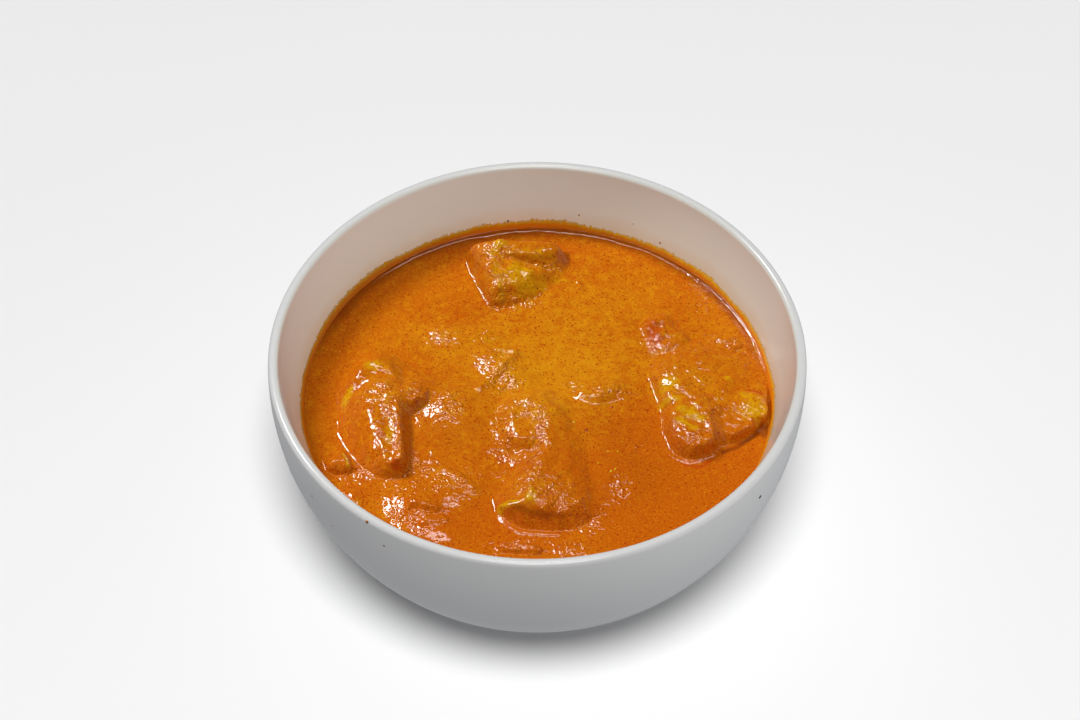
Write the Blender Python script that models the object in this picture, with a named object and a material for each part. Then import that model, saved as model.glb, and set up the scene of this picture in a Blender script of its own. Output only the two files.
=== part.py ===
"""Paneer rogan josh in its bowl: a thick round bowl, a smooth orange gravy, and chunks of paneer in it.

Metres, +Z up. The origin is the middle of the foot ring, on the table. The bowl's walls are parts of two
spheres. The gravy fills the bowl up to its level, with the swells that sunken chunks raise, and is cut
round each piece.
"""

import math
from dataclasses import dataclass

import bmesh
import bpy
from mathutils import Euler, Matrix, Vector, noise

MM = 0.001

# The bowl.
BOWL_DIAMETER = 150 * MM
BOWL_HEIGHT = 72.5 * MM
RIM_THICKNESS = 2.9 * MM
BELLY_BELOW_RIM = 4.7 * MM
INNER_CENTRE_ABOVE_RIM = 12.2 * MM
FOOT_DIAMETER = 76 * MM
FOOT_WIDTH = 5.0 * MM
FOOT_HEIGHT = 2.6 * MM
FOOT_EDGE = 0.7 * MM
FOOT_RECESS = 2.0 * MM
BOWL_SEGMENTS = 48
WALL_STEPS = 10
RIM_STEPS = 6

# The gravy: its level, its climb at the bowl and at the chunks, and how finely it is divided.
GRAVY_BELOW_RIM = 18.9 * MM
MENISCUS_RISE = 0.9 * MM
MENISCUS_REACH = 1.6 * MM
SKIRT_RISE = 1.1 * MM
SKIRT_SHARE_OF_TOP = 0.33
SKIRT_REACH = 4.4 * MM
GRAVY_CELLS = 33
GRAVY_SIDE_STEPS = 3
GRAVY_FLOOR_ANGLE = math.radians(-74)

# The gaps round a piece: to the gravy, between the gravy and the bowl, and between a chunk and the bowl.
GAP = 0.4 * MM
GRAVY_WALL_GAP = 0.45 * MM
WALL_CLEARANCE = 0.5 * MM

# How the chunks are rounded and roughened: the size of the lumps, and of the finer grain on them.
CRAG_SIZE = 8.5 * MM
GRAIN_SHARE = 0.4
GRAINS_A_CRAG = 2.3
SEED_STRIDE = Vector((17, 5, 11))

SHARP_EDGE = math.radians(40)
MERGE_DISTANCE = 0.001 * MM

RIM_MIDDLE_HEIGHT = BOWL_HEIGHT - RIM_THICKNESS / 2
GRAVY_HEIGHT = RIM_MIDDLE_HEIGHT - GRAVY_BELOW_RIM
OUTER_RADIUS = BOWL_DIAMETER / 2
OUTER_CENTRE_HEIGHT = RIM_MIDDLE_HEIGHT - BELLY_BELOW_RIM
RIM_OUTER_RADIUS = math.sqrt(OUTER_RADIUS**2 - BELLY_BELOW_RIM**2)
RIM_INNER_RADIUS = RIM_OUTER_RADIUS - RIM_THICKNESS
INNER_CENTRE_HEIGHT = RIM_MIDDLE_HEIGHT + INNER_CENTRE_ABOVE_RIM
INNER_RADIUS = math.hypot(RIM_INNER_RADIUS, INNER_CENTRE_ABOVE_RIM)


@dataclass(frozen=True)
class Chunk:
    """A cut block of paneer. Sizes are in millimetres, and angles in degrees.

    size is its width, depth and height before it is turned. top is how far its top stands above the gravy.
    squareness is how sharp its edges are. Its front end is narrower by the share pinch, on the side away
    from keep. crag is how rough it is. dents are (x, y, radius, depth) on its top face, with x and y from
    -1 to 1. cuts is how finely each side is divided, and seed picks its roughness.
    """

    name: str
    middle: tuple
    size: tuple
    top: float
    turn: float = 0.0
    lean_back: float = 0.0
    lean_side: float = 0.0
    squareness: float = 4.0
    pinch: float = 0.0
    keep: float = 0.0
    crag: float = 1.0
    dents: tuple = ()
    cuts: int = 5
    seed: float = 0.0


@dataclass(frozen=True)
class Swell:
    """A low rise of the gravy over something sunken. Its reach is along and across its axis, in mm."""

    middle: tuple
    reach: tuple
    rise: float
    turn: float = 0.0


CHUNKS = (
    Chunk(
        "paneer_back",
        middle=(-6.6, 47.8),
        size=(28, 25.5, 15),
        top=6.0,
        turn=-2,
        lean_back=7,
        lean_side=7,
        squareness=6,
        pinch=0.55,
        keep=-0.1,
        crag=1.3,
        dents=((0.4, 0.45, 0.4, 3.4),),
        cuts=6,
        seed=1,
    ),
    Chunk(
        "paneer_left_back",
        middle=(-46.4, 6.6),
        size=(18, 11, 12),
        top=4.8,
        turn=27,
        lean_back=-8,
        crag=2.2,
        cuts=4,
        seed=2,
    ),
    Chunk(
        "paneer_left",
        middle=(-46.6, -16.2),
        size=(19.5, 26, 14),
        top=6.4,
        turn=2,
        lean_back=4,
        lean_side=-4,
        pinch=0.42,
        keep=0.8,
        crag=2.6,
        dents=((-0.55, 0.3, 0.35, 1.6), (0.5, -0.5, 0.3, 1.2)),
        seed=3,
    ),
    Chunk(
        "paneer_left_rim",
        middle=(-54.8, -27.2),
        size=(8.5, 6.5, 6),
        top=2.8,
        turn=-12,
        crag=1.0,
        cuts=3,
        seed=4,
    ),
    Chunk(
        "paneer_right",
        middle=(42.6, -12.8),
        size=(16.2, 24.5, 13),
        top=5.8,
        turn=7,
        lean_back=2,
        squareness=3.6,
        pinch=0.12,
        crag=1.8,
        dents=((-0.1, 0.25, 0.4, 1.3), (0.2, -0.5, 0.3, 0.9)),
        seed=5,
    ),
    Chunk(
        "paneer_right_rim",
        middle=(59.5, -8.0),
        size=(15.5, 14.5, 12),
        top=4.2,
        turn=31,
        lean_side=-9,
        squareness=3.4,
        crag=2.0,
        cuts=4,
        seed=6,
    ),
    Chunk(
        "paneer_right_back",
        middle=(45.4, 8.6),
        size=(24.5, 12, 11),
        top=4.0,
        turn=-4,
        lean_back=5,
        squareness=3.6,
        crag=2.2,
        dents=((0.1, 0.0, 0.35, 1.2),),
        seed=7,
    ),
    Chunk(
        "tomato_bit",
        middle=(37.6, 22.8),
        size=(10.5, 12.5, 6),
        top=2.6,
        turn=18,
        squareness=3,
        crag=1.5,
        dents=((0.3, 0.2, 0.5, 1.3),),
        cuts=4,
        seed=8,
    ),
    Chunk(
        "paneer_front",
        middle=(3.2, -36.6),
        size=(24.5, 24, 14),
        top=6.9,
        turn=-8,
        lean_back=-11,
        lean_side=3,
        pinch=-0.05,
        crag=1.8,
        dents=((0.85, -0.85, 0.5, 2.2),),
        seed=9,
    ),
    Chunk(
        "paneer_middle",
        middle=(-2.4, -9.0),
        size=(20, 16, 11),
        top=4.6,
        turn=-14,
        squareness=3.2,
        crag=2.6,
        dents=((0.05, -0.75, 0.4, 2.2),),
        seed=10,
    ),
    Chunk(
        "green_strip",
        middle=(-5.0, -53.8),
        size=(12.5, 3.2, 2.4),
        top=0.9,
        turn=-6,
        squareness=3,
        crag=0.4,
        cuts=3,
        seed=11,
    ),
)

# First left of the middle, with the wrinkles behind it, then behind the front chunk's right, at the front
# left, at the right, and round the front and the middle chunk.
SWELLS = (
    Swell((-24, -5), (11, 10), 2.4),
    Swell((-33.5, 2.5), (4.5, 4.0), 2.6),
    Swell((-10.7, 11.2), (10, 4.5), 1.9, turn=-45),
    Swell((-26.5, 23.0), (6, 4), 1.2),
    Swell((-16, 23.0), (5, 3), 1.0, turn=15),
    Swell((17.3, 1.8), (8, 4), 1.9, turn=12),
    Swell((-33.5, -38), (8, 5), 2.1, turn=-20),
    Swell((-24, -33), (9, 6), 2.0, turn=25),
    Swell((-29, -46), (9, 4), 1.5, turn=-25),
    Swell((-52, -36), (5, 3.5), 1.3),
    Swell((56, 21), (8, 7), 1.8),
    Swell((47.5, 33), (10, 8), 1.0),
    Swell((62, 8), (4.5, 4), 1.4),
    Swell((19, -28), (11, 11), 2.2),
    Swell((12, -10), (8, 8), 1.8),
    Swell((10, -54), (6, 3), 1.0),
)


def arc(middle, radius, start, end, steps):
    """Points (radius, height) along an arc, both ends included. Angles start level outwards, in radians."""
    angles = (start + (end - start) * i / steps for i in range(steps + 1))
    return [(middle[0] + radius * math.cos(a), middle[1] + radius * math.sin(a)) for a in angles]


def bowl_profile():
    """The bowl's section, from the middle of its floor, up over the rim and down to the middle underneath."""
    inner_lip = -math.asin(INNER_CENTRE_ABOVE_RIM / INNER_RADIUS)
    outer_lip = math.asin(BELLY_BELOW_RIM / OUTER_RADIUS)
    foot_radius = FOOT_DIAMETER / 2
    foot_top = math.asin((FOOT_HEIGHT - OUTER_CENTRE_HEIGHT) / OUTER_RADIUS)
    rim_middle = (RIM_INNER_RADIUS + RIM_THICKNESS / 2, RIM_MIDDLE_HEIGHT)
    foot_inner = foot_radius - FOOT_WIDTH
    inner = arc((0, INNER_CENTRE_HEIGHT), INNER_RADIUS, -math.pi / 2, inner_lip, WALL_STEPS)
    rim = arc(rim_middle, RIM_THICKNESS / 2, math.pi, 0, RIM_STEPS)
    outer = arc((0, OUTER_CENTRE_HEIGHT), OUTER_RADIUS, outer_lip, foot_top, WALL_STEPS)
    foot = [
        (foot_radius, FOOT_HEIGHT - FOOT_EDGE),
        (foot_radius, FOOT_EDGE),
        (foot_radius - FOOT_EDGE, 0),
        (foot_inner + FOOT_EDGE, 0),
        (foot_inner, FOOT_EDGE),
        (foot_inner, FOOT_RECESS - FOOT_EDGE),
        (foot_inner - FOOT_EDGE, FOOT_RECESS),
        (0, FOOT_RECESS),
    ]
    return inner[:-1] + rim + outer[1:] + foot


def wall_radius(height):
    """How far the bowl's inner wall is from the axis at a height."""
    return math.sqrt(INNER_RADIUS**2 - (height - INNER_CENTRE_HEIGHT) ** 2)


def fade(distance, reach):
    """1 at no distance, 0.37 at the reach, and next to nothing at twice the reach."""
    return math.exp(-((distance / reach) ** 2))


def in_turned_frame(x, y, middle, turn):
    """A point's place along and across an axis that is turned in degrees about a middle in millimetres."""
    away = Vector((x - middle[0] * MM, y - middle[1] * MM, 0))
    return Matrix.Rotation(-math.radians(turn), 3, "Z") @ away


def round_reach(point, squareness):
    """How far a point is from the middle, where 1 is the surface of a rounded block of half size 1."""
    return sum(abs(c) ** squareness for c in point) ** (1 / squareness)


def front_width(along, pinch):
    """The width of a block that is narrower by the share pinch at its front, along from -1 to 1."""
    return 1 - pinch * (1 - along) / 2


def swell_height(swell, x, y):
    away = in_turned_frame(x, y, swell.middle, swell.turn)
    distance = math.hypot(away.x / (swell.reach[0] * MM), away.y / (swell.reach[1] * MM))
    return swell.rise * MM * fade(distance, 1.0)


def skirt_height(chunk, x, y):
    """How far the gravy climbs at the sides of a chunk."""
    away = in_turned_frame(x, y, chunk.middle, chunk.turn)
    half_width, half_depth = chunk.size[0] * MM / 2, chunk.size[1] * MM / 2
    along = away.y / half_depth
    width = front_width(min(max(along, -1), 1), chunk.pinch)
    across = chunk.keep + (away.x / half_width - chunk.keep) / width
    outside = max(round_reach((across, along), chunk.squareness) - 1, 0)
    rise = min(SKIRT_RISE, chunk.top * MM * SKIRT_SHARE_OF_TOP)
    return rise * fade(outside * (half_width + half_depth) / 2, SKIRT_REACH)


def gravy_level(x, y):
    """The height of the gravy's surface."""
    to_wall = max(wall_radius(GRAVY_HEIGHT) - math.hypot(x, y), 0)
    meniscus = MENISCUS_RISE * math.exp(-to_wall / MENISCUS_REACH)
    swells = sum(swell_height(swell, x, y) for swell in SWELLS)
    skirts = max(skirt_height(chunk, x, y) for chunk in CHUNKS)
    calm = 1 - fade(to_wall, 2 * MENISCUS_REACH)
    return GRAVY_HEIGHT + meniscus + calm * (swells + skirts)


def plain_material(name, colour, roughness):
    material = bpy.data.materials.new(name)
    material.use_nodes = True
    shader = material.node_tree.nodes["Principled BSDF"]
    shader.inputs["Base Color"].default_value = (*colour, 1)
    shader.inputs["Roughness"].default_value = roughness
    shader.inputs["Metallic"].default_value = 0
    return material


def place(bm, name, material, parent=None):
    """Turns a bmesh into a smooth-shaded object of its own."""
    mesh = bpy.data.meshes.new(name)
    bm.to_mesh(mesh)
    bm.free()
    mesh.shade_smooth()
    mesh.set_sharp_from_angle(angle=SHARP_EDGE)
    mesh.materials.append(material)
    thing = bpy.data.objects.new(name, mesh)
    bpy.context.scene.collection.objects.link(thing)
    thing.parent = parent
    return thing


def make_bowl(material, parent):
    bm = bmesh.new()
    points = [bm.verts.new((radius, 0, height)) for radius, height in bowl_profile()]
    edges = [bm.edges.new(pair) for pair in zip(points, points[1:])]
    bmesh.ops.spin(
        bm,
        geom=points + edges,
        cent=(0, 0, 0),
        axis=(0, 0, 1),
        dvec=(0, 0, 0),
        angle=2 * math.pi,
        steps=BOWL_SEGMENTS,
        use_merge=True,
    )
    bmesh.ops.remove_doubles(bm, verts=bm.verts, dist=MERGE_DISTANCE)
    bmesh.ops.recalc_face_normals(bm, faces=bm.faces)
    return place(bm, "bowl", material, parent)


def round_block(point, squareness):
    """Moves a point of the cube from -1 to 1 onto a block with rounded edges and corners."""
    return point / round_reach(point, squareness)


def pinch_front(point, chunk):
    """Narrows the block towards its front, keeping its left side (-1), right side (1) or middle (0)."""
    point.x = chunk.keep + (point.x - chunk.keep) * front_width(point.y, chunk.pinch)
    return point


def dent_depth(point, dents):
    """How far dents take the top face down at a point, in millimetres."""
    if point.z < 0:
        return 0
    return sum(
        depth * fade(math.hypot(point.x - x, point.y - y), radius) for x, y, radius, depth in dents
    )


def craggy(point, chunk):
    """A soft uneven push of a point, in millimetres: lumps, and a finer grain on them."""
    place_in_noise = point / CRAG_SIZE + SEED_STRIDE * chunk.seed
    return noise.noise(place_in_noise) + GRAIN_SHARE * noise.noise(place_in_noise * GRAINS_A_CRAG)


def inside_wall(point):
    """Presses a point that would reach the bowl's wall back from it."""
    middle = Vector((0, 0, INNER_CENTRE_HEIGHT))
    away = point - middle
    most = INNER_RADIUS - WALL_CLEARANCE
    return middle + away * min(1, most / away.length)


def chunk_bmesh(chunk):
    """A chunk's closed mesh, where it lies in the bowl."""
    bm = bmesh.new()
    bmesh.ops.create_cube(bm, size=2)
    bmesh.ops.subdivide_edges(bm, edges=bm.edges, cuts=chunk.cuts, use_grid_fill=True)
    half = Vector(chunk.size) * MM / 2
    lean = Euler((math.radians(chunk.lean_back), math.radians(chunk.lean_side), 0))
    turn = Euler((0, 0, math.radians(chunk.turn)))
    middle = Vector((chunk.middle[0] * MM, chunk.middle[1] * MM, GRAVY_HEIGHT + chunk.top * MM - half.z))
    for vertex in bm.verts:
        unit = pinch_front(round_block(vertex.co.copy(), chunk.squareness), chunk)
        outwards = unit.normalized()
        spot = Vector((unit.x * half.x, unit.y * half.y, unit.z * half.z))
        spot += outwards * craggy(spot, chunk) * chunk.crag * MM
        spot.z -= dent_depth(unit, chunk.dents) * MM
        spot.rotate(lean)
        spot.rotate(turn)
        vertex.co = inside_wall(middle + spot)
    bmesh.ops.triangulate(bm, faces=bm.faces)
    bmesh.ops.recalc_face_normals(bm, faces=bm.faces)
    return bm


def make_chunk(chunk, material, parent):
    return place(chunk_bmesh(chunk), chunk.name, material, parent)


def make_cutter(chunk, material, cutters):
    """A copy of a chunk that is larger by the gap all round, which cuts its place out of the gravy."""
    bm = chunk_bmesh(chunk)
    bm.normal_update()
    pushes = [vertex.normal * GAP * vertex.calc_shell_factor() for vertex in bm.verts]
    for vertex, push in zip(bm.verts, pushes):
        vertex.co += push
    cutter = place(bm, f"cutter_{chunk.name}", material)
    cutter.hide_render = True
    cutter.display_type = "WIRE"
    cutters.objects.link(cutter)
    return cutter


def gravy_bmesh():
    """The gravy as one body: a round grid for its surface, and rings down along the wall to a flat floor."""
    bm = bmesh.new()
    bmesh.ops.create_grid(bm, x_segments=GRAVY_CELLS, y_segments=GRAVY_CELLS, size=1)
    skin = INNER_RADIUS - GRAVY_WALL_GAP
    edge_angle = math.asin((GRAVY_HEIGHT - INNER_CENTRE_HEIGHT) / skin)
    edge_radius = skin * math.cos(edge_angle)
    for vertex in bm.verts:
        u, v = vertex.co.x, vertex.co.y
        x = edge_radius * u * math.sqrt(1 - v * v / 2)
        y = edge_radius * v * math.sqrt(1 - u * u / 2)
        vertex.co = (x, y, gravy_level(x, y))
    ring = [edge for edge in bm.edges if edge.is_boundary]
    for step in range(1, GRAVY_SIDE_STEPS + 1):
        angle = edge_angle + (GRAVY_FLOOR_ANGLE - edge_angle) * step / GRAVY_SIDE_STEPS
        made = bmesh.ops.extrude_edge_only(bm, edges=ring)["geom"]
        ring = [part for part in made if isinstance(part, bmesh.types.BMEdge)]
        for vertex in (part for part in made if isinstance(part, bmesh.types.BMVert)):
            across = Vector((vertex.co.x, vertex.co.y, 0)).normalized()
            vertex.co = across * skin * math.cos(angle)
            vertex.co.z = INNER_CENTRE_HEIGHT + skin * math.sin(angle)
    bmesh.ops.contextual_create(bm, geom=ring)
    bmesh.ops.recalc_face_normals(bm, faces=bm.faces)
    return bm


def make_gravy(material, cutters, parent):
    gravy = place(gravy_bmesh(), "gravy", material, parent)
    cut = gravy.modifiers.new("round each piece", "BOOLEAN")
    cut.operation = "DIFFERENCE"
    cut.operand_type = "COLLECTION"
    cut.collection = cutters
    cut.solver = "EXACT"
    return gravy


def main():
    for thing in list(bpy.data.objects):
        bpy.data.objects.remove(thing)
    stoneware = plain_material("white glazed stoneware", (0.78, 0.78, 0.77), 0.25)
    gravy_finish = plain_material("orange gravy", (0.62, 0.17, 0.01), 0.3)
    paneer_finish = plain_material("paneer in gravy", (0.66, 0.26, 0.015), 0.4)
    tomato_finish = plain_material("tomato in gravy", (0.58, 0.12, 0.012), 0.35)
    pepper_finish = plain_material("green pepper in gravy", (0.3, 0.2, 0.02), 0.35)
    finishes = {"tomato_bit": tomato_finish, "green_strip": pepper_finish}
    dish = bpy.data.objects.new("dish", None)
    bpy.context.scene.collection.objects.link(dish)
    cutters = bpy.data.collections.new("cutters")
    make_bowl(stoneware, dish)
    for chunk in CHUNKS:
        make_chunk(chunk, finishes.get(chunk.name, paneer_finish), dish)
        make_cutter(chunk, gravy_finish, cutters)
    make_gravy(gravy_finish, cutters, dish)


main()
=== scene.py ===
"""The looks of a bowl of paneer rogan josh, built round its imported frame.

Metres, +Z up, in the frame's own axes: the bowl stands on z = 0 with its axis on Z, and the camera looks
from -Y. Places on the gravy are given in millimetres, as they are easier to read.
"""

from __future__ import annotations

import logging
import math
from dataclasses import dataclass
from enum import Enum

import bmesh
import bpy
import numpy as np
from mathutils import Euler, Matrix, Vector, geometry, noise
from mathutils.bvhtree import BVHTree

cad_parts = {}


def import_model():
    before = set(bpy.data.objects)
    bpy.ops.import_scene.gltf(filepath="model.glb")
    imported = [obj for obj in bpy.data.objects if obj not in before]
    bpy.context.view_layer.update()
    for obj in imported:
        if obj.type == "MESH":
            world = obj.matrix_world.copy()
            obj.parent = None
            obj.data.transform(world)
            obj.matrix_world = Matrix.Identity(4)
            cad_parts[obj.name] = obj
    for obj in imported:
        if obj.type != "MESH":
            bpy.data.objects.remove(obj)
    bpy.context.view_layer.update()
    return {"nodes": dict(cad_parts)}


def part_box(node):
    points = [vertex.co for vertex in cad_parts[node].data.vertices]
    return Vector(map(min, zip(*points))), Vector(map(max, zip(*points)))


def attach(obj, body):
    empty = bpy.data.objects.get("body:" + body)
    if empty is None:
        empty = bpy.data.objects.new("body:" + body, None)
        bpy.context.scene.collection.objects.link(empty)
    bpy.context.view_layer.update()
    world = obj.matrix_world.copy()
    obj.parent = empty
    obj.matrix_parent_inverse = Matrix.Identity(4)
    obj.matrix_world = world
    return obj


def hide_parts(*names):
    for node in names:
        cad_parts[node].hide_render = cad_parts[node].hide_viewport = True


MM = 0.001
LOG = logging.getLogger("rogan_josh")

Colour = tuple[float, float, float]
Place = tuple[float, float]
Span = tuple[float, float]

# The bowl's form, as in the frame.
RIM_THICKNESS = 2.9 * MM
BELLY_BELOW_RIM = 4.7 * MM
INNER_CENTRE_ABOVE_RIM = 12.2 * MM
FOOT_DIAMETER = 76 * MM
FOOT_WIDTH = 5.0 * MM
FOOT_HEIGHT = 2.6 * MM
FOOT_EDGE = 0.7 * MM
FOOT_RECESS = 2.0 * MM
GRAVY_BELOW_RIM = 18.9 * MM

# The search for the food's height starts here and goes down. Points closer than WELD become one.
ABOVE_FOOD = 90 * MM
DOWN = Vector((0, 0, -1))
WELD = 0.001 * MM

# The photo's view.
IMAGE_WIDTH = 1080
IMAGE_HEIGHT = 720
CAMERA_ELEVATION = math.radians(48.8)
CAMERA_DISTANCE = 703.1 * MM
CAMERA_TARGET = Vector((0.76, 0, 67.65)) * MM
CAMERA_LENS = 83.94
CAMERA_SENSOR = 36.0


def camera_place() -> Vector:
    """Where the camera stands."""
    towards = Vector((0, math.cos(CAMERA_ELEVATION), -math.sin(CAMERA_ELEVATION)))
    return CAMERA_TARGET - towards * CAMERA_DISTANCE


def camera_line(across: float, down: float) -> Vector:
    """The way from the camera through a pixel of the photo.

    Args:
        across: the pixel's place from the left.
        down: its place from the top.

    Returns:
        The way, one long.
    """
    right = (across - IMAGE_WIDTH / 2) / IMAGE_WIDTH * CAMERA_SENSOR
    up = (IMAGE_HEIGHT / 2 - down) / IMAGE_WIDTH * CAMERA_SENSOR
    turn = Euler((math.pi / 2 - CAMERA_ELEVATION, 0, 0)).to_matrix()
    return (turn @ Vector((right, up, -CAMERA_LENS))).normalized()


class Slot(Enum):
    """Names of material slots."""

    STONEWARE = "stoneware"
    GRAVY = "gravy"
    PANEER = "paneer"
    TOMATO = "tomato"
    PEPPER = "pepper"


# --- Shader maths ---------------------------------------------------------------------------------


@dataclass(frozen=True)
class Wire:
    """The output socket of a node, which can stand in a sum like a number."""

    recipe: Recipe
    socket: bpy.types.NodeSocket

    def _maths(self, operation: str, *values: Wire | float) -> Wire:
        """Adds a Math node on these values."""
        return self.recipe.node("Math", {"operation": operation}, dict(enumerate(values)))

    def __add__(self, other: Wire | float) -> Wire:
        """Sum."""
        return self._maths("ADD", self, other)

    __radd__ = __add__

    def __mul__(self, other: Wire | float) -> Wire:
        """Product."""
        return self._maths("MULTIPLY", self, other)

    __rmul__ = __mul__

    def __sub__(self, other: Wire | float) -> Wire:
        """Difference."""
        return self._maths("SUBTRACT", self, other)

    def __rsub__(self, other: float) -> Wire:
        """Difference from a number."""
        return self._maths("SUBTRACT", other, self)

    def __truediv__(self, other: Wire | float) -> Wire:
        """Quotient."""
        return self._maths("DIVIDE", self, other)

    def most(self, other: Wire | float) -> Wire:
        """The larger of the two."""
        return self._maths("MAXIMUM", self, other)

    def between(self, low: float, high: float) -> Wire:
        """0 below low, 1 above high, and a smooth step between.

        Args:
            low: where the step starts. It may be above high, for a step down.
            high: where the step ends.

        Returns:
            The step.
        """
        settings = {"interpolation_type": "SMOOTHSTEP"}
        return self.recipe.node("MapRange", settings, {0: self, 1: low, 2: high, 3: 0.0, 4: 1.0})


class Recipe:
    """The nodes of a finish or of the surroundings in the making, and the ways in which they are added."""

    def __init__(
        self, owner: bpy.types.Material | bpy.types.World, shader: str = "Principled BSDF"
    ) -> None:
        """Starts with the one shader that the owner has.

        Args:
            owner: the material or the surroundings.
            shader: the name of its shader's node.
        """
        owner.use_nodes = True
        self.tree = owner.node_tree
        self.shader = self.tree.nodes[shader]
        self._place: Wire | None = None

    def node(
        self,
        kind: str,
        settings: dict | None = None,
        inputs: dict | None = None,
        output: int | str = 0,
    ) -> Wire:
        """Adds a node.

        Args:
            kind: the node's type, without ShaderNode in front.
            settings: its properties.
            inputs: values or wires for its sockets, by name or number.
            output: the socket to give back.

        Returns:
            The wire that leaves the node.
        """
        made = self.tree.nodes.new("ShaderNode" + kind)
        for name, value in (settings or {}).items():
            setattr(made, name, value)
        for name, value in (inputs or {}).items():
            self.plug(made.inputs[name], value)
        return Wire(self, made.outputs[output])

    def plug(self, socket: bpy.types.NodeSocket, value: Wire | float | Colour) -> None:
        """Links a wire to a socket, or sets the socket's own value.

        Args:
            socket: the socket.
            value: what it gets.
        """
        if isinstance(value, Wire):
            self.tree.links.new(value.socket, socket)
        elif isinstance(value, tuple) and socket.type == "RGBA":
            socket.default_value = (*value, 1)
        else:
            socket.default_value = value

    def set(self, **inputs: Wire | float | Colour) -> None:
        """Fills the shader's sockets, named with _ for a space.

        Args:
            inputs: what each socket gets.
        """
        for name, value in inputs.items():
            title = "IOR" if name == "ior" else name.replace("_", " ").title()
            self.plug(self.shader.inputs[title], value)

    def place(self) -> Wire:
        """The point's place on the object."""
        if self._place is None:
            self._place = self.node("TexCoord", output="Object")
        return self._place

    def dots(self, apart: float) -> Wire:
        """The distance from the nearest of many scattered points, in units of how far apart they are."""
        return self.node("TexVoronoi", {}, {"Vector": self.place(), "Scale": 1 / apart}, "Distance")

    def attribute(self, name: str) -> Wire:
        """A number that the mesh carries at each point."""
        return self.node("Attribute", {"attribute_name": name}, {}, "Fac")

    def axis(self, way: Wire, name: str) -> Wire:
        """A vector's "X", "Y" or "Z"."""
        return self.node("SeparateXYZ", {}, {0: way}, name)

    def mix(self, share: Wire | float, first: Wire | Colour, second: Wire | Colour) -> Wire:
        """A mix of two colours."""
        return self.node("Mix", {"data_type": "RGBA"}, {0: share, 6: first, 7: second}, 2)

    def bump(self, height: Wire) -> None:
        """Roughens the surface by a height in millimetres."""
        self.set(normal=self.node("Bump", {}, {"Height": height, "Distance": MM}))


@dataclass(frozen=True)
class Mottle:
    """Cloudy noise in a finish: its size in metres, its finer layers and how strong they are.

    The middle is taken off it, and the rest is multiplied by the strength.
    """

    size: float
    layers: float = 2.0
    rough: float = 0.5
    middle: float = 0.0
    strength: float = 1.0
    distortion: float = 0.0

    def on(self, recipe: Recipe) -> Wire:
        """The noise at each point, less its middle and times its strength.

        Args:
            recipe: the finish in the making.

        Returns:
            The noise, round 0 where the middle is 0.5.
        """
        inputs = {
            "Vector": recipe.place(),
            "Scale": 1 / self.size,
            "Detail": self.layers,
            "Roughness": self.rough,
            "Distortion": self.distortion,
        }
        return (recipe.node("TexNoise", {}, inputs) - self.middle) * self.strength


# --- Finishes -------------------------------------------------------------------------------------


class Finish:
    """A look, which makes its own material. Each kind of finish dresses the shader in its own way."""

    name: str

    def dress(self, recipe: Recipe) -> None:
        """Sets the shader."""
        raise NotImplementedError

    def make(self) -> bpy.types.Material:
        """Makes the finish.

        Returns:
            Its material.
        """
        material = bpy.data.materials.new(self.name)
        self.dress(Recipe(material))
        return material


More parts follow.
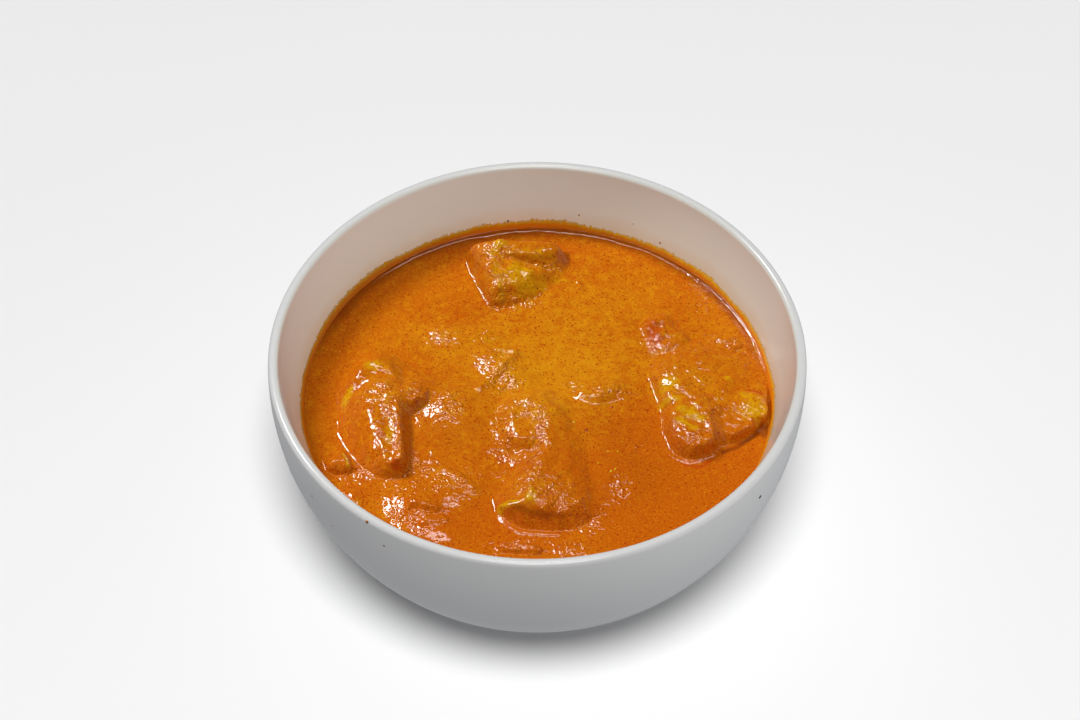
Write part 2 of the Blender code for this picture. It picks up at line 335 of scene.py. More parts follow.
@dataclass(frozen=True)
class StonewareGlaze(Finish):
    """White glaze, smooth with a faint waviness, stained a little above the gravy and bare under the foot.
    Its inner wall has painted light: a yellower white, and an orange glow above the gravy for the gravy's
    light thrown back.

    A span says where a smooth step starts and ends. The skin's is outside the inner wall, the painted glow's
    is above the gravy, the stain's is in units of its reach, and the glaze ends above the foot's underside.
    """

    gravy_height: float
    inner_centre: float
    inner_radius: float
    name: str = "white_glaze"
    white: Colour = (0.85, 0.85, 0.84)
    # Painted light: the inner wall's white is yellower than the outer, for the light inside the bowl.
    painted_inner_white: Colour = (0.84, 0.855, 0.80)
    skin_span: Span = (0.9 * MM, 0.3 * MM)
    cloudy_white: Colour = (0.82, 0.825, 0.82)
    clouds: Mottle = Mottle(30 * MM, strength=0.12)
    stain: Colour = (0.74, 0.50, 0.27)
    stain_reach: float = 7 * MM
    stain_ragged: Mottle = Mottle(9 * MM, 3, middle=0.5, strength=0.5)
    stain_span: Span = (1.0, 0.2)
    stain_share: float = 0.42
    # Painted bounce light: an orange glow on the inner wall just above the gravy.
    painted_bounce: Colour = (0.84, 0.66, 0.38)
    painted_bounce_span: Span = (16 * MM, 1 * MM)
    painted_bounce_share: float = 0.30
    bare_clay: Colour = (0.62, 0.58, 0.52)
    glaze_end: Span = (0.9 * MM, 0.5 * MM)
    roughness: float = 0.22
    bare_roughness: float = 0.55
    uneven_roughness: Mottle = Mottle(4 * MM, middle=0.5, strength=0.1)
    coat: float = 0.15
    coat_roughness: float = 0.06
    waves: Mottle = Mottle(6 * MM, 1, strength=0.05)
    bare_grain: Mottle = Mottle(0.8 * MM, 1, strength=0.08)

    def dress(self, recipe: Recipe) -> None:
        """Sets the glaze's shader.

        Args:
            recipe: the finish in the making.
        """
        height = recipe.axis(recipe.place(), "Z")
        above = height - self.gravy_height
        ends = {0: recipe.place(), 1: (0, 0, self.inner_centre)}
        from_centre = recipe.node("VectorMath", {"operation": "DISTANCE"}, ends, "Value")
        inside = (from_centre - self.inner_radius).between(*self.skin_span)
        stained = (above / self.stain_reach + self.stain_ragged.on(recipe)).between(*self.stain_span)
        # The painted glow, on the inner wall above the gravy.
        painted_bounce_mask = above.between(*self.painted_bounce_span) * inside * self.painted_bounce_share
        unglazed = height.between(*self.glaze_end)
        colour = recipe.mix(painted_bounce_mask, recipe.mix(inside, self.white, self.painted_inner_white), self.painted_bounce)
        colour = recipe.mix(self.clouds.on(recipe), colour, self.cloudy_white)
        colour = recipe.mix(stained * inside * self.stain_share, colour, self.stain)
        recipe.set(
            base_color=recipe.mix(unglazed, colour, self.bare_clay),
            roughness=unglazed * self.bare_roughness + self.roughness + self.uneven_roughness.on(recipe),
            coat_weight=self.coat,
            coat_roughness=self.coat_roughness,
        )
        recipe.bump(self.waves.on(recipe) + self.bare_grain.on(recipe) * unglazed)


@dataclass(frozen=True)
class Layer:
    """A colour over the gravy where the mesh's number of that name is high: what shows through it, and for
    the dark layer painted shade.

    The number is made patchy, the span says where that comes in, and the share is the most of it.
    """

    mark: str
    patchy: float
    span: Span
    share: float


LAYERS = (
    Layer("bare", 1.0, (0.28, 0.95), 0.85),
    Layer("red", 0.5, (0.30, 0.75), 0.8),
    # The dark layer is painted shade, in hollows, under lips and along the back wall.
    Layer("dark", 0.3, (0.2, 0.8), 0.8),
)


@dataclass(frozen=True)
class Spice:
    """Small specks of ground spice: how far apart they are, and in that unit how large, with a soft edge."""

    apart: float
    near: float
    far: float
    ragged: Mottle = Mottle(0.5 * MM, middle=0.5, strength=2)

    def on(self, recipe: Recipe) -> Wire:
        """How much of the specks there is at each point."""
        return (recipe.dots(self.apart) + self.ragged.on(recipe) * self.near).between(self.far, self.near)


@dataclass(frozen=True)
class FoodFinish(Finish):
    """Creamy orange gravy, and what shows through it where it is thin.

    It is mottled, full of fine grain and ground spice, and glossy with fat. The mesh says at each point how
    sunny, bare, red, dark and lumpy it is, and its dark is painted shade.
    """

    name: str
    deep: Colour = (0.60, 0.120, 0.003)
    middle: Colour = (0.68, 0.190, 0.004)
    clouds: Mottle = Mottle(15 * MM, 3, 0.55, 0.5467, 2.4)
    sunny: Colour = (0.79, 0.320, 0.006)
    blotches: Mottle = Mottle(2.2 * MM, 4, 0.65, 0.6386, 2.8)
    bright: Colour = (0.80, 0.330, 0.008)
    bright_grain: Mottle = Mottle(0.5 * MM, 2, 0.6, 0.51, 2.6)
    shade: Colour = (0.54, 0.100, 0.003)
    shade_grain: Mottle = Mottle(0.5 * MM, 2, 0.6, 0.49, -3.4)
    under: Colour = (0.84, 0.440, 0.004)
    under_dark: Colour = (0.64, 0.280, 0.003)
    curd: Mottle = Mottle(0.9 * MM, 3, 0.7)
    curd_span: Span = (0.38, 0.62)
    red: Colour = (0.56, 0.075, 0.004)
    # Painted shade, laid where the mesh's dark number is high.
    dark: Colour = (0.25, 0.045, 0.003)
    patches: Mottle = Mottle(2.6 * MM, 4, 0.62, 0.5, 1.3, 0.5)
    spice: Colour = (0.40, 0.050, 0.003)
    spices: tuple[Spice, ...] = (Spice(1.25 * MM, 0.15, 0.25), Spice(3.6 * MM, 0.055, 0.085))
    spice_share: float = 0.9
    roughness: float = 0.08
    uneven_roughness: Mottle = Mottle(3 * MM, middle=0.5, strength=0.08)
    ior: float = 1.52
    grain: Mottle = Mottle(0.9 * MM, 1, strength=0.03)
    swell: Mottle = Mottle(2.6 * MM, 1, strength=0.09)
    lumps: Mottle = Mottle(1.45 * MM, 1, strength=0.58, distortion=0.8)
    lumps_everywhere: float = 0.6
    net: Mottle = Mottle(0.7 * MM, 0, strength=0.34)
    relief_patches: Mottle = Mottle(2.4 * MM, 1)
    relief_span: Span = (0.40, 0.58)
    bare_calm: float = 0.75

    def dress(self, recipe: Recipe) -> None:
        """Sets the food's shader.

        Args:
            recipe: the finish in the making.
        """
        recipe.set(
            base_color=self._colour(recipe),
            roughness=self.roughness + self.uneven_roughness.on(recipe),
            ior=self.ior,
        )
        recipe.bump(self._relief(recipe))

    def _colour(self, recipe: Recipe) -> Wire:
        """The gravy's colour, with what shows through it and the painted shade.

        Args:
            recipe: the finish in the making.

        Returns:
            The colour.
        """
        sunny = recipe.attribute("sunny")
        body = recipe.mix(self.clouds.on(recipe) + sunny, self.deep, self.middle)
        body = recipe.mix(self.blotches.on(recipe) + sunny, body, self.sunny)
        body = recipe.mix(self.bright_grain.on(recipe).most(0.0), body, self.bright)
        body = recipe.mix(self.shade_grain.on(recipe).most(0.0), body, self.shade)
        curd = recipe.mix(self.curd.on(recipe).between(*self.curd_span), self.under_dark, self.under)
        patchy = self.patches.on(recipe)
        # The last layer paints shade into the colour.
        for layer, colour in zip(LAYERS, (curd, self.red, self.dark)):
            there = (recipe.attribute(layer.mark) + patchy * layer.patchy).between(*layer.span)
            body = recipe.mix(there * layer.share, body, colour)
        for specks in self.spices:
            body = recipe.mix(specks.on(recipe) * self.spice_share, body, self.spice)
        return body

    def _relief(self, recipe: Recipe) -> Wire:
        """The fine relief in millimetres: a grain all over, and wet curds where the gravy is lumpy.

        Args:
            recipe: the finish in the making.

        Returns:
            The height.
        """
        lumpy = recipe.attribute("lumpy") * (1 - recipe.attribute("bare") * self.bare_calm)
        patchy = self.relief_patches.on(recipe).between(*self.relief_span)
        lumps = self.lumps.on(recipe) * (patchy * (1 - self.lumps_everywhere) + self.lumps_everywhere)
        return self.grain.on(recipe) + self.swell.on(recipe) + (lumps + self.net.on(recipe) * patchy) * lumpy


GRAVY = FoodFinish("rogan_gravy")
PANEER = FoodFinish("paneer_in_gravy")
TOMATO = FoodFinish("tomato_in_gravy", deep=(0.58, 0.090, 0.004), middle=(0.66, 0.14, 0.004))
PEPPER = FoodFinish(
    "pepper_in_gravy", deep=(0.30, 0.14, 0.006), middle=(0.34, 0.19, 0.010), sunny=(0.45, 0.28, 0.02)
)


@dataclass(frozen=True)
class FilmFinish(Finish):
    """The thin fatty film of gravy on the wall: brown by the gravy, and mustard at its ragged top."""

    name: str = "gravy_film"
    low: Colour = (0.82, 0.220, 0.005)
    top: Colour = (0.86, 0.44, 0.010)
    top_ragged: Mottle = Mottle(0.8 * MM, 3, middle=0.5, strength=0.5)
    top_span: Span = (0.35, 0.75)
    fleck: Colour = (0.30, 0.10, 0.006)
    flecks: Mottle = Mottle(0.6 * MM, 3, 0.7)
    fleck_span: Span = (0.56, 0.68)
    fleck_share: float = 0.35
    roughness: float = 0.3
    dots: Mottle = Mottle(0.45 * MM, 2, 0.6, 0.5, 2.4)
    cover: float = 2.4
    cover_span: Span = (0.1, 0.7)
    grain: Mottle = Mottle(0.5 * MM, strength=0.05)

    def dress(self, recipe: Recipe) -> None:
        """Sets the film's shader.

        Args:
            recipe: the finish in the making.
        """
        rise = recipe.attribute("rise")
        mustard = (rise + self.top_ragged.on(recipe)).between(*self.top_span)
        flecked = self.flecks.on(recipe).between(*self.fleck_span) * self.fleck_share
        recipe.set(
            base_color=recipe.mix(flecked, recipe.mix(mustard, self.low, self.top), self.fleck),
            roughness=self.roughness,
            alpha=((1 - rise) * self.cover + self.dots.on(recipe)).between(*self.cover_span),
        )
        recipe.bump(self.grain.on(recipe))


@dataclass(frozen=True)
class PlainFinish(Finish):
    """One colour, a little uneven, for specks and the stage."""

    name: str
    colour: Colour
    shade: Colour
    roughness: float = 0.4
    clouds: Mottle = Mottle(0.5 * MM)

    def dress(self, recipe: Recipe) -> None:
        """Sets the plain shader."""
        colour = recipe.mix(self.clouds.on(recipe), self.colour, self.shade)
        recipe.set(base_color=colour, roughness=self.roughness)


# --- Shared making --------------------------------------------------------------------------------


def fade(distance: float | np.ndarray, reach: float) -> float | np.ndarray:
    """1 at no distance, 0.37 at the reach, and next to nothing at twice the reach."""
    return np.exp(-((distance / reach) ** 2))


@dataclass(frozen=True)
class Cloud:
    """Smooth noise in space: the size of its lumps, its layers, each finer and weaker, and its seed."""

    size: float
    layers: int = 1
    seed: float = 0.0
    seed_step: tuple[float, float, float] = (13.7, 7.1, 3.3)
    finer: float = 2.03
    weaker: float = 0.5

    def at(self, point: Vector) -> float:
        """Its value at a point, from about -1 to 1."""
        spot = point / self.size + Vector(self.seed_step) * self.seed
        return sum(noise.noise(spot * self.finer**i) * self.weaker**i for i in range(self.layers))


def set_attribute(mesh: bpy.types.Mesh, name: str, values: np.ndarray) -> None:
    """Gives each point of a mesh a number."""
    made = mesh.attributes.new(name, "FLOAT", "POINT")
    made.data.foreach_set("value", np.asarray(values, np.float32))


def vectors_of(items: bpy.types.bpy_prop_collection, field: str) -> np.ndarray:
    """The vectors that a mesh's items hold, one in each row.

    Args:
        items: the mesh's items.
        field: which of their vectors.

    Returns:
        The vectors.
    """
    found = np.empty(len(items) * 3, np.float32)
    items.foreach_get(field, found)
    return found.reshape(-1, 3).astype(float)


def points_of(mesh: bpy.types.Mesh) -> np.ndarray:
    """The places of a mesh's points."""
    return vectors_of(mesh.vertices, "co")


def outwards(point: Vector) -> Vector:
    """The level way from the bowl's axis to a point, one long."""
    return Vector((point.x, point.y, 0)).normalized()


def in_mm(points: np.ndarray) -> tuple[np.ndarray, np.ndarray]:
    """How far across and along points are, in millimetres."""
    return points[:, 0] / MM, points[:, 1] / MM


def move_points(mesh: bpy.types.Mesh, points: np.ndarray) -> None:
    """Puts a mesh's points in these places."""
    mesh.vertices.foreach_set("co", points.astype(np.float32).ravel())
    mesh.update()


def height_on(surface: BVHTree, x: float, y: float, start: float = ABOVE_FOOD) -> float | None:
    """How high a surface is at a place, looked for from the start down, or None beside it."""
    spot = surface.ray_cast(Vector((x, y, start)), DOWN)[0]
    return None if spot is None else spot.z


def add_object(name: str, data: bpy.types.ID) -> bpy.types.Object:
    """Puts a mesh, a lamp or a camera in the scene.

    Args:
        name: the object's name.
        data: what it shows.

    Returns:
        The object.
    """
    made = bpy.data.objects.new(name, data)
    bpy.context.scene.collection.objects.link(made)
    return made


def finish_piece(
    mesh: bpy.types.Mesh, name: str, material: bpy.types.Material, slot: Slot, *nodes: str
) -> bpy.types.Object:
    """Makes a mesh a piece of the part.

    Args:
        mesh: the finished mesh, in its place.
        name: the piece's name.
        material: its material.
        slot: a slot name for that; not used.
        nodes: the frame's nodes that it stands for.

    Returns:
        The piece.
    """
    mesh.materials.clear()
    mesh.materials.append(material)
    mesh.shade_smooth()
    piece = add_object(name, mesh)
    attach(piece, "root")
    if nodes:
        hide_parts(*nodes)
    LOG.info("%s: %d faces, for %s", name, len(mesh.polygons), ", ".join(nodes) or "no node")
    return piece


def mesh_from(bm: bmesh.types.BMesh, name: str) -> bpy.types.Mesh:
    """Turns a bmesh into a mesh and frees it.

    Args:
        bm: the bmesh.
        name: the mesh's name.

    Returns:
        The mesh.
    """
    mesh = bpy.data.meshes.new(name)
    bm.to_mesh(mesh)
    bm.free()
    return mesh


def extrude_ring(
    bm: bmesh.types.BMesh, ring: list[bmesh.types.BMEdge]
) -> tuple[list[bmesh.types.BMEdge], list[bmesh.types.BMVert]]:
    """Extrudes a ring of edges on the spot.

    Args:
        bm: the bmesh.
        ring: the edges.

    Returns:
        The new ring's edges and points.
    """
    made = bmesh.ops.extrude_edge_only(bm, edges=ring)["geom"]
    lines = [part for part in made if isinstance(part, bmesh.types.BMEdge)]
    return lines, [part for part in made if isinstance(part, bmesh.types.BMVert)]


def arc(middle: Place, radius: float, start: float, end: float, steps: int) -> list[Place]:
    """Points (radius, height) along an arc, both ends included, with angles in radians from level."""
    angles = (start + (end - start) * i / steps for i in range(steps + 1))
    return [(middle[0] + radius * math.cos(a), middle[1] + radius * math.sin(a)) for a in angles]


# --- The bowl -------------------------------------------------------------------------------------


@dataclass
class Bowl:
    """The thick white bowl: two spherical walls, a rounded rim and a foot ring."""

    diameter: float
    height: float
    segments: int = 180
    wall_steps: int = 34
    rim_steps: int = 12
    edge_steps: int = 4

    @property
    def rim_height(self) -> float:
        """The height of the middle of the rim's round."""
        return self.height - RIM_THICKNESS / 2

    @property
    def outer_centre(self) -> float:
        """The height of the outer wall's centre."""
        return self.rim_height - BELLY_BELOW_RIM

    @property
    def rim_inner_radius(self) -> float:
        """The rim's inner radius."""
        return math.sqrt((self.diameter / 2) ** 2 - BELLY_BELOW_RIM**2) - RIM_THICKNESS

    @property
    def inner_centre(self) -> float:
        """The height of the inner wall's centre."""
        return self.rim_height + INNER_CENTRE_ABOVE_RIM

    @property
    def inner_radius(self) -> float:
        """The radius of the inner wall's sphere."""
        return math.hypot(self.rim_inner_radius, INNER_CENTRE_ABOVE_RIM)

    @property
    def gravy_height(self) -> float:
        """The level of the gravy."""
        return self.rim_height - GRAVY_BELOW_RIM

    def wall_radius(self, height: float) -> float:
        """How far the inner wall is from the axis at a height."""
        return math.sqrt(self.inner_radius**2 - (height - self.inner_centre) ** 2)

    def profile(self) -> list[Place]:
        """The section, from the middle of the floor over the rim to the middle underneath.

        Returns:
            Points as radius and height.
        """
        outer_radius = self.diameter / 2
        inner_lip = -math.asin(INNER_CENTRE_ABOVE_RIM / self.inner_radius)
        outer_lip = math.asin(BELLY_BELOW_RIM / outer_radius)
        foot_top = math.asin((FOOT_HEIGHT - self.outer_centre) / outer_radius)
        rim_middle = (self.rim_inner_radius + RIM_THICKNESS / 2, self.rim_height)
        inner = arc((0, self.inner_centre), self.inner_radius, -math.pi / 2, inner_lip, self.wall_steps)
        rim = arc(rim_middle, RIM_THICKNESS / 2, math.pi, 0, self.rim_steps)
        outer = arc((0, self.outer_centre), outer_radius, outer_lip, foot_top, self.wall_steps)
        return inner[:-1] + rim + outer[1:] + self.foot()

    def foot(self) -> list[Place]:
        """The foot ring's section, with its rounded edges.

        Returns:
            Points as radius and height.
        """
        outside = FOOT_DIAMETER / 2
        inside = outside - FOOT_WIDTH
        quarter = math.pi / 2
        steps = self.edge_steps
        outer_edge = arc((outside - FOOT_EDGE, FOOT_EDGE), FOOT_EDGE, 0, -quarter, steps)
        inner_edge = arc((inside + FOOT_EDGE, FOOT_EDGE), FOOT_EDGE, -quarter, -2 * quarter, steps)
        fillet = arc((inside - FOOT_EDGE, FOOT_RECESS - FOOT_EDGE), FOOT_EDGE, 0, quarter, steps)
        return [(outside, FOOT_HEIGHT - FOOT_EDGE)] + outer_edge + inner_edge + fillet + [(0, FOOT_RECESS)]

    def build(self, finish: StonewareGlaze) -> bpy.types.Object:
        """Turns the section into the bowl.

        Args:
            finish: its glaze.

        Returns:
            The piece.
        """
        bm = bmesh.new()
        points = [bm.verts.new((radius, 0, height)) for radius, height in self.profile()]
        lines = [bm.edges.new(pair) for pair in zip(points, points[1:])]
        bmesh.ops.spin(
            bm,
            geom=points + lines,
            cent=(0, 0, 0),
            axis=(0, 0, 1),
            dvec=(0, 0, 0),
            angle=2 * math.pi,
            steps=self.segments,
            use_merge=True,
        )
        bmesh.ops.remove_doubles(bm, verts=bm.verts, dist=WELD)
        bmesh.ops.recalc_face_normals(bm, faces=bm.faces)
        mesh = mesh_from(bm, "bowl_glazed")
        return finish_piece(mesh, "bowl_glazed", finish.make(), Slot.STONEWARE, "bowl")


# --- The food's surface ---------------------------------------------------------------------------


@dataclass(frozen=True)
class Spot:
    """A soft oval on the food, seen from above, in millimetres. Its reach is along and across its axis."""

    middle: Place
    reach: Place
    amount: float
    turn: float = 0.0

    def share(self, x: np.ndarray, y: np.ndarray) -> np.ndarray:
        """How much of the spot there is at each point.

        Args:
            x: the points' places across, in millimetres.
            y: their places towards the back.

        Returns:
            Shares from 0 to 1.
        """
        turn = math.radians(self.turn)
        away_x, away_y = x - self.middle[0], y - self.middle[1]
        along = away_x * math.cos(turn) + away_y * math.sin(turn)
        across = away_y * math.cos(turn) - away_x * math.sin(turn)
        return fade(np.hypot(along / self.reach[0], across / self.reach[1]), 1.0)


@dataclass(frozen=True)
class Streak:
    """A soft bent line on the food, seen from above, in millimetres."""

    line: tuple[Place, ...]
    width: float
    amount: float

    def share(self, x: np.ndarray, y: np.ndarray) -> np.ndarray:
        """How much of the streak there is at each point.

        Args:
            x: the points' places across, in millimetres.
            y: their places towards the back.

        Returns:
            Shares from 0 to 1.
        """
        nearest = np.full(x.shape, np.inf)
        for start, end in zip(self.line, self.line[1:]):
            run_x, run_y = end[0] - start[0], end[1] - start[1]
            away_x, away_y = x - start[0], y - start[1]
            along = np.clip((away_x * run_x + away_y * run_y) / (run_x**2 + run_y**2), 0, 1)
            nearest = np.minimum(nearest, np.hypot(away_x - along * run_x, away_y - along * run_y))
        return fade(nearest, self.width)


Marks = tuple[Spot | Streak, ...]


@dataclass(frozen=True)
class Edge:
    """A point on a form's edge: the photo's pixel that it shows at, and its height over the gravy in mm."""

    across: float
    down: float
    height: float

    def place(self, level: float) -> Vector:
        """Where the camera's line through the pixel meets that height.

        Args:
            level: the height of the gravy, in metres.

        Returns:
            The place as x, y and height above the gravy, in millimetres.
        """
        eye = camera_place()
        line = camera_line(self.across, self.down)
        spot = eye + line * ((level + self.height * MM - eye.z) / line.z)
        return Vector((spot.x / MM, spot.y / MM, self.height))


def edges(*points: tuple[float, float, float]) -> tuple[Edge, ...]:
    """Points on a form's edges, each given as the pixel's place across and down, and the height."""
    return tuple(Edge(*point) for point in points)


@dataclass(frozen=True)
class Form:
    """What shows of a group of chunks: points on its edges, and its back edge, behind which it falls away.

    Behind the back edge there is a narrow ledge and then a slope down to the foot, all in millimetres.
    """

    shown: tuple[Edge, ...]
    brink: tuple[Edge, ...] = ()
    ledge: float = 0.9
    fall: float = 2.5
    foot: float = -0.5
    weld: float = 0.01

    def surface(self, level: float) -> BVHTree:
        """A surface of flat facets between the points.

        Args:
            level: the height of the gravy, in metres.

        Returns:
            The surface in millimetres, with z as the height above the gravy.
        """
        points = [edge.place(level) for edge in self.brink + self.shown]
        for point in points[: len(self.brink)]:
            points.append(point + Vector((0, self.ledge, 0)))
            away = self.ledge + (point.z - self.foot) / self.fall
            points.append(Vector((point.x, point.y + away, self.foot)))
        found = geometry.delaunay_2d_cdt([point.xy for point in points], [], [], 0, self.weld)
        spots = [Vector((spot.x, spot.y, points[first[0]].z)) for spot, first in zip(found[0], found[3])]
        return BVHTree.FromPolygons(spots, found[2])


# The gravy's swells over sunken pieces, the same as in the frame. Their amounts are heights.
SWELLS: Marks = (
    Spot((-24, -5), (11, 10), 2.4),
    Spot((-33.5, 2.5), (4.5, 4.0), 2.6),
    Spot((-10.7, 11.2), (10, 4.5), 1.9, turn=-45),
    Spot((-26.5, 23.0), (6, 4), 1.2),
    Spot((-16, 23.0), (5, 3), 1.0, turn=15),
    Spot((17.3, 1.8), (8, 4), 1.9, turn=12),
    Spot((-33.5, -38), (8, 5), 1.5, turn=-20),
    Spot((-24, -33), (9, 6), 2.0, turn=25),
    Spot((-29, -46), (9, 4), 1.0, turn=-25),
    Spot((-52, -36), (5, 3.5), 1.3),
    Spot((56, 21), (8, 7), 1.8),
    Spot((47.5, 33), (10, 8), 1.0),
    Spot((62, 8), (4.5, 4), 1.4),
    Spot((19, -28), (11, 11), 2.2),
    Spot((12, -10), (8, 8), 1.8),
    Spot((10, -54), (6, 3), 1.0),
)

# What shows of each group of chunks under its coat of gravy: points along edges, folds and feet, each as
# the photo's pixel, across and down, and the height above the gravy in millimetres.
BACK_FORM = Form(
    brink=edges(
        (474, 245, 4.6), (484, 243, 6.2), (494, 241, 7.0), (501, 239, 8.0), (508, 241, 7.0), (520, 241, 6.9),
        (535, 241, 6.6), (548, 242, 5.9), (557, 245, 5.0), (563, 251, 3.2),
    ),
    shown=edges(
        # The left crest, and the shelf and foot of the left wall.
        (484, 248, 6.4), (487, 255, 6.4), (490, 263, 6.3), (492, 272, 5.8), (494, 280, 5.1), (496, 289, 3.9),
        (498, 297, 2.4), (479.5, 249.5, 5.9), (482.5, 256.5, 5.9), (485.5, 264.5, 5.8), (487.5, 273.5, 5.3),
        (489.5, 281.5, 4.6), (491.5, 290.5, 3.4), (493.5, 298.5, 1.9), (472, 249, 4.2), (477, 259, 3.6),
        (463, 241, -0.3), (464, 252, -0.3), (466, 262, -0.4), (470, 274, -0.4), (477, 286, -0.4),
        (484, 297, -0.4), (489, 308, -0.5), (479, 272, 1.9), (486, 289, 1.3),
        # The lobe's front edge, the groove and the hollow under it, and the fold.
        (495, 250, 6.6), (500, 253, 6.4), (508, 252, 6.4), (517, 253, 6.1), (525, 253, 5.8), (533, 254, 5.7),
        (541, 253, 5.5), (550, 251, 5.1), (558, 251, 4.2), (506, 257, 4.9), (514, 258, 4.5), (522, 260, 4.0),
        (531, 263, 3.1), (541, 264, 2.8), (550, 264, 2.6), (558, 262, 2.0), (500, 258, 6.0), (503, 260, 5.8),
        (508, 261.5, 5.7), (514, 262, 5.6), (518, 264, 5.4), (523, 267.5, 5.1), (530, 270, 4.6),
        # The sloping front face, its lower edge and its foot.
        (500, 272, 5.4), (503, 285, 4.2), (512, 281, 4.3), (525, 281, 3.6), (540, 273, 3.1), (505, 298, 1.6),
        (512, 297, 1.5), (520, 295, 1.4), (527, 292, 1.3), (535, 288, 1.2), (543, 283, 1.1), (551, 276, 1.2),
        (558, 269, 1.0), (498, 309, -0.5), (506, 308, -0.5), (513, 307, -0.4), (520, 305, -0.3),
        (528, 302, -0.3), (538, 298, -0.4), (549, 291, -0.4), (560, 282, -0.4), (568, 272, -0.4),
        (571, 262, -0.4), (570, 250, -0.4),
    ),
)
LEFT_FORM = Form(
    shown=edges(
        # The yellow crust of the upper lump, and its back.
        (343, 393, 1.8), (349, 384, 3.4), (356, 375, 4.5), (362, 365, 5.1), (368, 361, 5.3), (376, 359, 5.3),
        (386, 362, 5.1), (393, 370, 4.6), (336, 390, -0.5), (341, 379, -0.5), (348, 369, -0.4),
        (356, 358, -0.4), (368, 350, -0.4), (384, 349, -0.4), (396, 354, -0.4), (401, 364, 0.4),
        (404, 374, 1.4),
        # The groove between the two lumps.
        (365, 381, 4.1), (376, 374, 4.3), (387, 374, 4.4), (396, 379, 4.3), (355, 389, 3.4),
        # The top of the large lump: its left edge, its yellow trough and its right crest.
        (378, 381, 5.7), (385, 380, 6.1), (393, 386, 6.2), (366, 394, 5.3), (368, 406, 5.7), (372, 418, 5.7),
        (378, 431, 5.4), (382, 444, 5.1), (384, 457, 4.8), (382, 394, 6.2), (385, 407, 5.9), (389, 421, 5.3),
        (391, 436, 5.0), (393, 450, 4.8), (397, 397, 6.5), (399, 410, 6.5), (400, 424, 6.3), (401, 438, 6.0),
        (402, 450, 5.7), (402, 458, 5.3), (393, 459, 4.9),
        # Its right wall, its front shelf and its foot.
        (411, 418, 0.8), (413, 431, 0.4), (412, 445, 0.2), (410, 459, 0.0), (382, 467, 2.7), (391, 469, 2.7),
        (400, 469, 2.2), (379, 480, -0.5), (391, 481, -0.5), (403, 478, -0.5), (412, 467, -0.4),
        # Its long left slope and foot.
        (352, 403, 3.0), (352, 416, 3.0), (355, 430, 2.8), (361, 443, 2.7), (368, 454, 2.7), (374, 465, 2.0),
        (336, 403, -0.5), (335, 417, -0.5), (336, 433, -0.5), (343, 446, -0.4), (353, 460, -0.4),
        (364, 471, -0.5),
        # The arm at its right, with a steep front.
        (403, 390, 5.6), (411, 387, 5.1), (420, 386, 5.0), (427, 389, 4.3), (408, 398, 5.0), (417, 397, 4.6),
        (425, 398, 3.6), (404, 380, 3.2), (413, 377, 2.6), (424, 377, 1.8), (433, 382, 0.8), (438, 392, 0.2),
        (434, 403, 0.2), (427, 410, 0.2), (417, 415, 0.2),
        # The small lump by the wall.
        (342, 453, 2.7), (346, 459, 2.8), (350, 465, 2.0), (333, 460, 2.6), (328, 466, 1.4), (336, 468, 1.7),
        (345, 467, 1.8), (322, 461, -0.4), (326, 472, -0.5), (337, 477, -0.5), (349, 475, -0.5),
        (344, 447, -0.2), (332, 450, -0.4),
    ),
)
